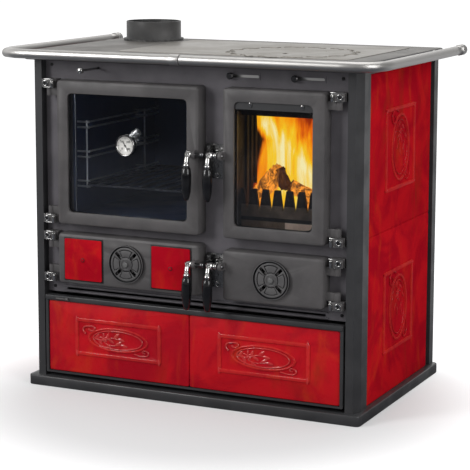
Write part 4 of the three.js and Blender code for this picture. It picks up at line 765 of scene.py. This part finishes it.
def leaf(centre, along, across, out, length):
    """A pointed leaf: a ball drawn out between its poles and pinched flat."""
    fresh()
    bpy.ops.mesh.primitive_uv_sphere_add(segments=8, ring_count=6, radius=1, location=(0, 0, 0))
    piece = bpy.context.object
    edit()
    pick(lambda centre_mm, normal: abs(normal.z) > 0.75)
    bpy.ops.transform.resize(value=(0.6, 0.6, 1.12))
    leave()
    turn = Matrix((across, out, along)).transposed().to_4x4()
    size = Matrix.Diagonal((length * 0.19, 0.0014, length * 0.5, 1))
    piece.data.transform(Matrix.Translation(centre) @ turn @ size)
    return piece


def ornament(name, tile_body, finish, on_face, half_p, half_q, corners):
    """Inner oval, sprig, scrolls and corner knobs for one tile. on_face(p, q, height) gives mm."""
    def line(points, radius, lift=0.2, closed=False, steps=5):
        return wire([on_face(p * half_p, q * half_q, lift) for p, q in points], radius, closed, steps, 1)

    oval = [(0.83 * cos(t * pi / 8), 0.8 * sin(t * pi / 8)) for t in range(16)]
    parts = [
        line(oval, 2.1, 0.8, True, 4),
        line(STEM, 2),
        line(TWIG, 1.6),
        line(SWEEP, 1.9),
        line(SCROLL_TOP, 2.6, 1.4),
        line(SCROLL_LOW, 2.2, 1),
    ]
    centre = place(*on_face(0, 0, 0))
    axis_p = (place(*on_face(1, 0, 0)) - centre).normalized()
    axis_q = (place(*on_face(0, 1, 0)) - centre).normalized()
    out = (place(*on_face(0, 0, 1)) - centre).normalized()
    for p, q, angle in LEAVES:
        a = radians(angle)
        along = axis_p * cos(a) + axis_q * sin(a)
        across = along.cross(out)
        parts.append(leaf(place(*on_face(p * half_p, q * half_q, 0.5)), along, across, out, 0.021))
    for k in range(5):
        a = radians(72 * k + 20)
        along = axis_p * cos(a) + axis_q * sin(a)
        middle = place(*on_face(BLOSSOM[0] * half_p, BLOSSOM[1] * half_q, 0.9)) + along * 0.006
        parts.append(leaf(middle, along, along.cross(out), out, 0.013))
    for p, q in corners:
        parts.append(leaf(place(*on_face(p, q, 2.6)), axis_q, axis_q.cross(out), out, 0.017))
    piece = joined(parts)
    edit()
    face_out(merge=True)
    leave()
    return finish_piece(piece, name, finish, tile_body, 60)


def dress_tiles():
    for side, sign in (("right", 1), ("left", -1)):
        for row, middle in (("lower", 230.9), ("upper", 631.8)):
            def on_side(p, q, height, sign=sign, middle=middle):
                return sign * (TILE_FACE_SIDE + height), TILE_MIDDLE_DEPTH - sign * q, middle - p
            knobs = [(a * 97, b * 97) for a in (-1, 1) for b in (-1, 1)]
            ornament(f"side_relief_{side}_{row}", "cooker_body", side_relief_glaze, on_side, 81, 59, knobs)
    for side, centre in (("left", -199.9), ("right", 199.9)):
        def on_drawer(p, q, height, centre=centre):
            return centre + p, TILE_FACE_DRAWER - height, 137.5 + q
        knobs = [(a * 117, b * 43) for a in (-1, 1) for b in (-1, 1)]
        ornament(f"drawer_relief_{side}", "drawer", relief_glaze, on_drawer, 84, 29, knobs)


dress_tiles()


# ---- bolts, screws and small fittings
def slotted_screw(x, face, z, radius=4, out=-1):
    """A cheese-head screw with its slot sunk in."""
    head = round_bar(radius, (x, face + 0.05, z), (x, face + out * 2.2, z), 24, edge=0.6)
    edit()
    pick_facing("y", out)
    push_in(radius * 0.35)
    leave()
    reach, depths = radius * 1.1, sorted((face + out * 1.2, face + out * 4))
    cut_out(head, slab((x - reach, x + reach), depths, (z - 0.6, z + 0.6)))
    return head


def cut_out(piece, cutter):
    cut = piece.modifiers.new("cut", "BOOLEAN")
    cut.object = cutter
    bpy.context.view_layer.objects.active = piece
    bpy.ops.object.modifier_apply(modifier=cut.name)
    bpy.data.objects.remove(cutter)


def tube(outer, inner, start, end, sides=48):
    """A straight tube between two points (mm)."""
    pipe = round_bar(outer, start, end, sides)
    edit()
    along = (place(*end) - place(*start)).normalized()
    pick(lambda centre, normal: abs(normal.dot(along)) > 0.9)
    hollow(outer - inner)
    face_out()
    leave()
    return pipe


def ring_bolt(x, face, z, radius=8.2, hole=4.3):
    """A chrome washer ring and, in it, the dark socket head of its bolt."""
    ring = tube(radius, hole, (x, face + 0.2, z), (x, face - 3, z), 28)
    round_edges(ring, 0.9, 3)
    head = round_bar(hole + 0.2, (x, face + 0.2, z), (x, face - 1.6, z), 20)
    edit()
    pick_facing("y", -1)
    push_in(hole * 0.42, 1.2)
    leave()
    return ring, head


def dress_hinges():
    """Cover plate, bright strips along its top and bottom edges as painted edge highlights, ring, bolt and
    pin on each of the eight hinges.
    """
    plates, bright, heads = [], [], []
    for sign, low, high in ((-1, 425.5, 788), (-1, 275.5, 403), (1, 425.5, 788), (1, 273.5, 397)):
        x = sorted((sign * 371.5, sign * 406.5))
        for z in (high - 10.5, low + 10.5):
            plate = slab(x, (-8.7, -6.05), (z - 9.4, z + 9.4), edge=0.9)
            plates.append(plate)
            # painted highlight: bright chrome strips along the plate's top and bottom edges
            for edge, thick in ((z + 9.2, 1.4), (z - 10.4, 1.1)):
                strip = slab(x, (-9.3, -5.5), (edge, edge + thick), edge=0.4)
                bright.append(strip)
            ring, head = ring_bolt(sign * 395.5, -8.65, z - 0.5)
            bright.append(ring)
            heads.append(head)
            x_pin = sign * 376.4
            pin = round_bar(3.9, (x_pin, -10.6, z - 11.5), (x_pin, -10.6, z + 7.5), 20, edge=2.2, segments=4)
            bright.append(pin)
    finish_piece(plates, "hinge_plates", bracket_iron)
    finish_piece(bright, "hinge_rings_pins_and_highlight_strips", fitting_chrome)
    finish_piece(heads, "hinge_bolt_heads", black_screw)


def dress_catches():
    rings, heads = [], []
    for z in CATCH_HEIGHTS:
        for x, up in ((47, 3), (69, 1), (69, -55)):
            ring, head = ring_bolt(x, 19, z + up, 6.4, 3.4)
            rings.append(ring)
            heads.append(head)
    finish_piece(rings, "catch_rings", fitting_chrome)
    finish_piece(heads, "catch_bolt_heads", black_screw)


def dress_damper():
    knob = round_bar(7.2, (-261, -72.2, 817.5), (-261, -58.5, 817.5), 32, edge=2.6, segments=4)
    edit()
    pick_facing("y", -1)
    push_in(1.6, 0.8)
    leave()
    finish_piece(knob, "damper_knob", fitting_chrome, "damper_rod")


def dress_front_plate():
    corners = ((-394, 822), (391, 818), (-393, 257), (394, 257))
    screws = [slotted_screw(x, PLATE_FACE, z) for x, z in corners]
    finish_piece(screws, "front_plate_screws", black_screw)
    ridges = []
    for low in (245.5, 258.5):
        ridge = slab((-364, 359), (17.5, PLATE_FACE - 0.05), (low, low + 3.2), edge=1.2)
        ridges.append(ridge)
    finish_piece(ridges, "vent_ridges", panel_paint)
    rims = []
    for left in (97, 265):
        rim = slab((left - 4, left + 83), (20.6, PLATE_FACE - 0.05), (806.5, 820.5))
        edit()
        pick(lambda centre, normal: abs(normal.y) > 0.9)
        hollow(3.2)
        leave()
        rims.append(rim)
    finish_piece(rims, "slide_slot_rims", panel_paint)


def rope(door, x, z):
    """The black rope seal that shows round a window's edge."""
    points = []
    for cx, cz, turn in ((x[1], z[0], -90), (x[1], z[1], 0), (x[0], z[1], 90), (x[0], z[0], 180)):
        mx = cx - copysign(WINDOW_CORNER, cx - sum(x) / 2)
        mz = cz - copysign(WINDOW_CORNER, cz - sum(z) / 2)
        for k in (0, 45, 90):
            px, pz = on_circle(mx, mz, WINDOW_CORNER, turn + k)
            points.append((px, -11.5, pz))
    fresh()
    seal = wire(points, 1.45, True, 8, 2)
    finish_piece(seal, f"{door}_window_rope", rope_black, f"{door}_door", 60)


def window_corners(door, x, z, backs):
    """The rounded corners of a window opening; backs are the depths of the lower and the upper pair."""
    corners, radius = [], WINDOW_CORNER
    for side in (0, 1):
        for end in (0, 1):
            in_x, in_z = (1, -1)[side] * radius, (1, -1)[end] * radius
            block = slab(
                sorted((x[side] - in_x * 0.1, x[side] + in_x)), (DOOR_FACE + 0.04, backs[end]),
                sorted((z[end] - in_z * 0.1, z[end] + in_z)),
            )
            middle = x[side] + in_x, z[end] + in_z
            cut_out(block, round_bar(radius, (middle[0], -30, middle[1]), (middle[0], 10, middle[1]), 48))
            corners.append(block)
    finish_piece(corners, f"{door}_window_corners", door_iron, f"{door}_door", 30)


def dress_windows():
    window_corners("oven", *OVEN_WINDOW, (-10.2, -10.2))
    window_corners("fire", *FIRE_WINDOW, (-10.2, -13.4))
    strip = slab((-313, -310.4), (-5.8, -2.5), (459.5, 754), edge=0.6)
    finish_piece(strip, "oven_glass_strip", dark_wire, "oven_door")
    rope("oven", (-327.1, 2.1), (458.9, 754.6))
    rope("fire", (129.7, 330), (458.5, 738))
    screws = [slotted_screw(x, -13.35, 751.3, 4.4) for x in (170.2, 303.5)]
    finish_piece(screws, "fire_clip_screws", fitting_chrome, "fire_door")


def dress_dial():
    face = -17.2
    ticks = []
    for k in range(25):
        inner, thick = (18.2, 0.26) if k % 4 else (16.2, 0.42)
        (x0, z0), (x1, z1) = (on_circle(DIAL_X, DIAL_Z, r, 225 - k * 11.25) for r in (inner, 20.6))
        ticks.append(round_bar(thick, (x0, face, z0), (x1, face, z1), 6))
    for k, number in ((0, "0"), (2, "100"), (4, "200"), (6, "300")):
        x, z = on_circle(DIAL_X, DIAL_Z, 12, 225 - k * 45)
        fresh()
        bpy.ops.object.text_add(location=place(x, face - 0.1, z - 1.4))
        number_mesh = bpy.context.object
        number_mesh.data.body = number
        number_mesh.data.size = 0.0074
        number_mesh.data.extrude = 0.00012
        number_mesh.data.align_x = "CENTER"
        number_mesh.rotation_euler = (pi / 2, 0, 0)
        bpy.ops.object.convert(target="MESH")
        bpy.ops.object.transform_apply()
        ticks.append(bpy.context.object)
    pointer = slab((-166.2, -164.8), (face - 1.1, face - 0.5), (626, 651))
    edit()
    pick_facing("z")
    bpy.ops.transform.resize(value=(0.25, 1, 1))
    leave()
    turn_about(pointer, DIAL_X, DIAL_Z, 150)
    hub = round_bar(2.2, (DIAL_X, face, DIAL_Z), (DIAL_X, face - 1.6, DIAL_Z), 18, edge=0.5)
    finish_piece([*ticks, pointer, hub], "dial_printing", dial_ink, "oven_door")
    housing = round_bar(19, (DIAL_X, -5.7, DIAL_Z), (DIAL_X, 10, DIAL_Z), 40, edge=2.5, segments=3)
    probe = round_bar(7, (-181, 13, 643), (-146, 16, 666), 28)
    collar = round_bar(9.5, (-160, 14.6, 657), (-144, 16, 667.5), 28, edge=2, segments=3)
    clip = round_bar(3.2, (-156, 18, 650), (-146, 18, 644), 16, edge=1)
    finish_piece([housing, probe, collar, clip], "dial_probe", probe_steel, "oven_door")


def dress_drawer():
    knob = round_bar(2.2, (-346, -8.2, 231), (-374, -8.2, 231), 18, edge=0.6)
    ball = round_bar(3.8, (-338, -8.2, 231), (-346, -8.2, 231), 20, edge=1.4, segments=3)
    foot = round_bar(1.8, (-366, -5.5, 231), (-366, -8.5, 231), 12)
    finish_piece([knob, ball, foot], "drawer_latch", bracket_iron, "drawer")
    lip = slab((-407, 407), (-6.2, -3.05), (225.6, 237.6), edge=1.6, segments=3)
    finish_piece(lip, "drawer_lip", frame_paint, "drawer")


def rosette_finish(name, x, z):
    """Satin iron, with painted shade, near black, in the ring groove and in the recesses, and a rubbed
    centre that is smoother and painted lighter, partly as a painted highlight.
    """
    finish, tree, shader = shader_of(name, 0.4, specular=0.4)
    skin = use(tree, GRAIN, Grain=900)
    away = distance(tree, place(x, 0, z), ACROSS)
    reach = away
    groove = times(spread(reach, 0.0416, 0.0424), spread(reach, 0.0464, 0.0456))
    iron = tint(skin["Tone"], (0.062, 0.06, 0.062), (0.09, 0.087, 0.088))
    # painted shade: the ring groove and all that lies sunk behind the plate's front are painted near black
    deep = beyond(tree, TO_BACK, -forward_of(-23.8), 0.0006)
    soot = larger(groove, deep)
    # the boss's centre: rubbed smooth, and painted lighter as a painted highlight too
    worn_and_highlight = spread(reach, 0.007, 0.005)
    iron = tint(worn_and_highlight, iron, (0.12, 0.12, 0.12))
    paint(shader, soot, iron, (0.006, 0.006, 0.007))
    feed(shader, "Roughness", spread(worn_and_highlight, 0, 1, 0.42, 0.22))
    roughen(shader, skin["Relief"], 0.35, 0.0006)
    return finish


def petal(x, z, middle, half, inner, outer, back, front):
    """A flat arc-shaped plate round the centre of a rosette, between two radii (mm)."""
    fresh()
    bpy.ops.mesh.primitive_grid_add(x_subdivisions=12, y_subdivisions=1, size=1, location=(0, 0, 0))
    plate = bpy.context.object
    for vertex in plate.data.vertices:
        r = inner + (outer - inner) * (vertex.co.y + 0.5)
        px, pz = on_circle(x, z, r, middle + 2 * half * vertex.co.x)
        vertex.co = place(px, back, pz)
    edit()
    bpy.ops.mesh.extrude_region_move(TRANSFORM_OT_translate={"value": (0, (front - back) / 1000, 0)})
    face_out()
    leave()
    return plate


def rosette(door, x, z):
    """The turning air rosette: disc, ring groove, four slots, four petals and the domed boss."""
    base = round_bar(46, (x, -18.35, z), (x, -21, z), 64)
    plate = round_bar(42.2, (x, -18.6, z), (x, -24.4, z), 64)
    for disc in (base, plate):
        for k in range(4):
            cutter = slab((x + 17, x + 40), (-30, -10), (z - 3.9, z + 3.9), edge=2.6, segments=3)
            turn_about(cutter, x, z, 45 + 90 * k)
            cut_out(disc, cutter)
    parts = []
    for k in range(4):
        cut_out(plate, petal(x, z, 90 * k, 30, 17, 37, -30, -22.2))
        leaf_plate = petal(x, z, 90 * k, 27, 19, 35, -20.6, -25)
        round_edges(leaf_plate, 1.2, 3)
        parts.append(leaf_plate)
    rim = tube(47.6, 44.9, (x, -18.35, z), (x, -26, z), 64)
    round_edges(plate, 0.8)
    round_edges(rim, 1, 3)
    ring = [(px, -24.3, pz) for px, pz in (on_circle(x, z, 13, 45 * k) for k in range(8))]
    boss = round_bar(7, (x, -24, z), (x, -29, z), 32, edge=4.2, segments=5)
    piece = joined([base, plate, rim, wire(ring, 1.4, True, 5, 1), boss, *parts])
    finish_piece(piece, f"{door}_rosette_face", rosette_finish(f"{door}_rosette_iron", x, z),
                 f"{door}_rosette")
    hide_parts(f"{door}_rosette")


def dress_rosettes():
    for door, (x, z) in ROSETTES.items():
        rosette(door, x, z)


def dress_soot_tiles():
    """A black frame in the gap round each tile of the soot door, painted shade for that gap, and the tile's
    centre screw.
    """
    gap_shades, screws = [], []
    for left, right in SOOT_TILES:
        # painted shade: a black frame standing in the gap round the tile
        gap_shade = slab((left - 3.2, right + 3.2), (-19.6, -18.05), (284.05, 394.45), edge=0.5)
        gap_shades.append(gap_shade)
        x, z = (left + right) / 2, SOOT_TILE_MIDDLE
        head = round_bar(5.2, (x, -22, z), (x, -24.4, z), 24, edge=0.7)
        screws.append(head)
    finish_piece(gap_shades, "soot_tile_gap_shade", black_screw, "soot_door")
    finish_piece(screws, "soot_tile_screws", black_screw, "soot_door")


def dress_side_joints():
    """The glazed joint between the lower and the upper side tile."""
    for side, sign, finish in (("right", 1, side_glaze_right), ("left", -1, side_glaze_left)):
        x = sorted((sign * 430.6, sign * 437.9))
        joint = slab(x, (67.6, 505.4), (435.2, 436.8), edge=0.4)
        finish_piece(joint, f"side_joint_{side}", finish)


def dress_back():
    spots = [(x, z) for x in (-396, -130, 130, 396) for z in (60, 300, 560, 815)]
    screws = [slotted_screw(x, BACK_FACE, z, 4, 1) for x, z in spots]
    finish_piece(screws, "back_panel_screws", zinc_wire)


def dress_hob():
    """A wreath of small cast scrolls round the hob ring."""
    x, y = HOB_RING
    curl = ((0.16, 158), (0.09, 166), (0, 163), (-0.06, 152), (-0.13, 146), (-0.17, 153), (-0.13, 157))
    scrolls = []
    for k in range(16):
        places = [(r, k * tau / 16 + t) for t, r in curl]
        points = [(x + r * cos(a), y + r * sin(a), HOB_TOP + 0.2) for r, a in places]
        scrolls.append(wire(points, 1.2, False, 4, 1))
    finish_piece(scrolls, "hob_scrolls", hob_plate_steel, angle=60)


def dress_firebox():
    lintel = slab((120.2, 339.5), (46, 55), (718, 765.7), edge=1.5)
    finish_piece(lintel, "fire_throat_plate", firebox_iron)
    guard = softened("log_guard", 0, 30)
    for middle in (135.4, 166.9, 198.4, 229.8, 261.3, 292.8, 324.2):
        gap = slab((middle - 9.5, middle + 9.5), (40, 60), (491, 545))
        edit()
        pick_facing("z", -1)
        bpy.ops.transform.resize(value=(0.12, 1, 1))
        leave()
        cut_out(guard, gap)


dress_hinges()
dress_catches()
dress_damper()
dress_front_plate()
dress_windows()
dress_dial()
dress_drawer()
dress_rosettes()
dress_soot_tiles()
dress_side_joints()
dress_back()
dress_hob()
dress_firebox()


# ---- the fire
def flame_finish():
    """Flames, led by the place along the hearth and the height: hot heart, ragged left side."""
    finish, tree, shader = shader_of("flame", 1, specular=0)
    feed(shader, "Base Color", (0, 0, 0))
    x, y, z = parts_of(spot(tree))
    along = plus(plus(x, times(y, 0.4455)), 0.0894)
    tongues = noise(stretched(spot(tree), (0, -0.42, 0), (1, 1, 0.2)), 34, 3, 0.55, 0.6)
    above = times(minus(z, 0.65), 0.66)
    below = times(minus(0.65, z), 0.28)
    flare = larger(above, below)
    ragged = times(minus(tongues, 0.5), 0.028)
    inside = plus(plus(minus(along, 0.177), flare), ragged)
    heart = plus(times(minus(0.7, z), 0.84), 0.196)
    off = minus(along, heart)
    cool_right = times(larger(off, 0), 7.5)
    cool_left = times(reckon("MINIMUM", off, 0), -1.6)
    heat = minus(0.95, plus(cool_right, cool_left))
    heat = plus(heat, times(minus(tongues, 0.5), 1.25))
    heat = times(heat, spread(inside, -0.004, 0.03, 0.45, 1))
    heat = times(heat, spread(z, 0.66, 0.75, 1, 0.82))
    ramp = tree.nodes.new("ShaderNodeValToRGB")
    stops = ramp.color_ramp.elements
    stops[0].position, stops[0].color = 0, (0.06, 0.004, 0, 1)
    stops[1].position, stops[1].color = 1, (1, 0.88, 0.44, 1)
    for position, colour in (
        (0.2, (0.36, 0.03, 0.001)), (0.38, (0.8, 0.13, 0.002)), (0.56, (1, 0.33, 0.003)),
        (0.8, (1, 0.62, 0.02)),
    ):
        stops.new(position).color = (*colour, 1)
    fill(ramp.inputs[0], heat)
    feed(shader, "Emission Color", ramp.outputs[0])
    feed(shader, "Emission Strength", 1)
    solid = times(spread(inside, -0.003, 0.01), spread(heat, -0.1, 0.2))
    feed(shader, "Alpha", solid)
    return finish


def wood_finish():
    """Burning wood: glowing in its cracks towards the left and the right of the hearth, and dark between."""
    finish, tree, shader = shader_of("burning_wood", 0.9, specular=0.1)
    cracks = noise(stretched(spot(tree), (0, 0.5, 0), (1, 1, 0.35)), 75, 5, 0.7, 1.2)
    char = noise(spot(tree), 38, 3, 0.6, 0.5)
    left = beyond(tree, TO_LEFT, -0.212, 0.016)
    right = beyond(tree, TO_RIGHT, 0.236, 0.006)
    warm = larger(left, right)
    warm = plus(times(warm, 0.9), times(char, 0.35))
    glow = times(spread(cracks, 0.4, 0.6, 0.12, 1), spread(warm, 0.1, 0.9))
    paint(shader, cracks, (0.01, 0.006, 0.004), (0.12, 0.05, 0.025))
    feed(shader, "Emission Color", tint(glow, (0.012, 0.002, 0.001), (1, 0.33, 0.03)))
    feed(shader, "Emission Strength", 1.15)
    roughen(shader, cracks, 0.8, 0.004)
    return finish


def sheet_of_fire(name, depth, low, high, bow, finish):
    """A slightly bowed sheet across the firebox that carries the flames."""
    left, right = FIREBOX_SIDES
    fresh()
    bpy.ops.mesh.primitive_grid_add(x_subdivisions=14, y_subdivisions=16, size=1, location=(0, 0, 0))
    sheet = bpy.context.object
    for vertex in sheet.data.vertices:
        u, v = vertex.co.x + 0.5, vertex.co.y + 0.5
        sway = bow * sin(3 * u + 4 * v)
        vertex.co = place(left + (right - left) * u, depth + sway, low + (high - low) * v)
    return finish_piece(sheet, name, finish, angle=80)


def light_fire():
    """The burning wood and its flames, which stand in the firebox behind the log guard."""
    flame = flame_finish()
    sheet_of_fire("embers", 104, 486, 546, 2, flame)
    sheet_of_fire("flames_front", 122, 515, 762, 5, flame)
    sheet_of_fire("flames_back", 150, 515, 762, -6, flame)
    wood = wood_finish()
    logs = {
        "split_log": ((150, 92, 525), (200, 80, 578), 20),
        "broken_log": ((176, 96, 540), (204, 84, 590), 15),
        "charred_chunk": ((200, 84, 585), (226, 78, 545), 14),
        "lying_log": ((232, 92, 545), (292, 78, 528), 15),
        "left_brand": ((143, 76, 508), (160, 72, 530), 11),
        "right_brand": ((272, 74, 522), (300, 76, 498), 12),
    }
    for seed, (name, (start, end, radius)) in enumerate(logs.items()):
        log = round_bar(radius, start, end, 12)
        edit()
        bpy.ops.mesh.subdivide(number_cuts=3)
        bpy.ops.transform.vertex_random(offset=0.0048, seed=seed)
        leave()
        finish_piece(log, name, wood, angle=30)


def seen_plainly(seen):
    """1 for what the camera sees, also through the door glass, and 0 for light that has bounced."""
    bounces = plus(seen["Diffuse Depth"], seen["Glossy Depth"])
    through = times(seen["Is Transmission Ray"], reckon("LESS_THAN", bounces, 0.5))
    return larger(seen["Is Camera Ray"], through)


def stage_floor():
    fresh()
    bpy.ops.mesh.primitive_plane_add(size=40, location=(0, 0, 0))
    floor = bpy.context.object
    floor.name = "floor"
    finish, tree, shader = shader_of("floor_paper", 0.6, specular=0)
    feed(shader, "Emission Color", (1, 1, 1))
    seen = tree.nodes.new("ShaderNodeLightPath").outputs
    paint(shader, seen["Is Glossy Ray"], (0.5, 0.5, 0.505), (0.09, 0.095, 0.11))
    # painted shadow: the floor's own glow for the camera is weaker near the cooker, so a soft shadow round
    # it is painted on top of the lamps' real shadows
    paper = spread(distance(tree, (0.04, -0.2, 0)), 0.4, 0.86, 0.28, 0.86)
    mirrored = times(seen["Is Glossy Ray"], beyond(tree, (-0.3, 0.95, 0), -0.6, 2.5))
    feed(shader, "Emission Strength", larger(times(seen_plainly(seen), paper), times(mirrored, 0.5)))
    floor.data.materials.append(finish)


def light_scene():
    """A white backdrop behind, a darker studio in front, and three soft lamps."""
    world = bpy.data.worlds.new("studio")
    bpy.context.scene.world = world
    world.use_nodes = True
    tree = world.node_tree
    back = tree.nodes["Background"]
    feed(back, "Color", (1, 1, 1))
    seen = tree.nodes.new("ShaderNodeLightPath").outputs
    x, y, _ = parts_of(tree.nodes.new("ShaderNodeTexCoord").outputs["Generated"])
    behind = spread(minus(y, x), 0.2, 1.2, 0.26, 1)
    plain = spread(seen_plainly(seen), 0, 1, 0.5, 1)
    glossy = seen["Is Glossy Ray"]
    unlit = times(plain, minus(1, glossy))
    feed(back, "Strength", plus(unlit, times(glossy, behind)))
    lamps = {
        "key": ((-2.6, -3.4, 2.4), (1.3, 2.6), 115),
        "fill": ((3.4, -1.6, 2), (1.6, 2.4), 55),
        "crown": ((0.2, 0.6, 3.6), (2.6, 2.6), 36),
    }
    for name, (spot, (across, high), power) in lamps.items():
        fresh()
        bpy.ops.object.light_add(type="AREA", location=spot)
        lamp = bpy.context.object
        lamp.name = name
        lamp.data.shape = "RECTANGLE"
        lamp.data.size, lamp.data.size_y = across, high
        lamp.data.energy = power
        lamp.rotation_euler = (Vector((0, 0, 0.45)) - Vector(spot)).to_track_quat("-Z", "Y").to_euler()


def set_camera():
    """The photograph's camera: turned to the left, tipped down a little and hardly rolled."""
    yaw, pitch, roll = radians(25.324), radians(8.866), radians(0.111)
    forward = Vector((-sin(yaw) * cos(pitch), cos(yaw) * cos(pitch), -sin(pitch)))
    right = Vector((cos(yaw), sin(yaw), 0))
    up = right.cross(forward)
    side = right * cos(roll) + up * sin(roll)
    top = up * cos(roll) - right * sin(roll)
    fresh()
    bpy.ops.object.camera_add(location=place(1898.5, -3750.05, 1194))
    camera = bpy.context.object
    camera.rotation_euler = Matrix((side, top, -forward)).transposed().to_euler()
    camera.data.sensor_width = 36
    camera.data.lens = 134.41
    camera.data.shift_y = -0.1
    camera.data.clip_end = 100
    bpy.context.scene.camera = camera


light_fire()
stage_floor()
light_scene()
set_camera()
bpy.context.scene.view_settings.view_transform = "Standard"
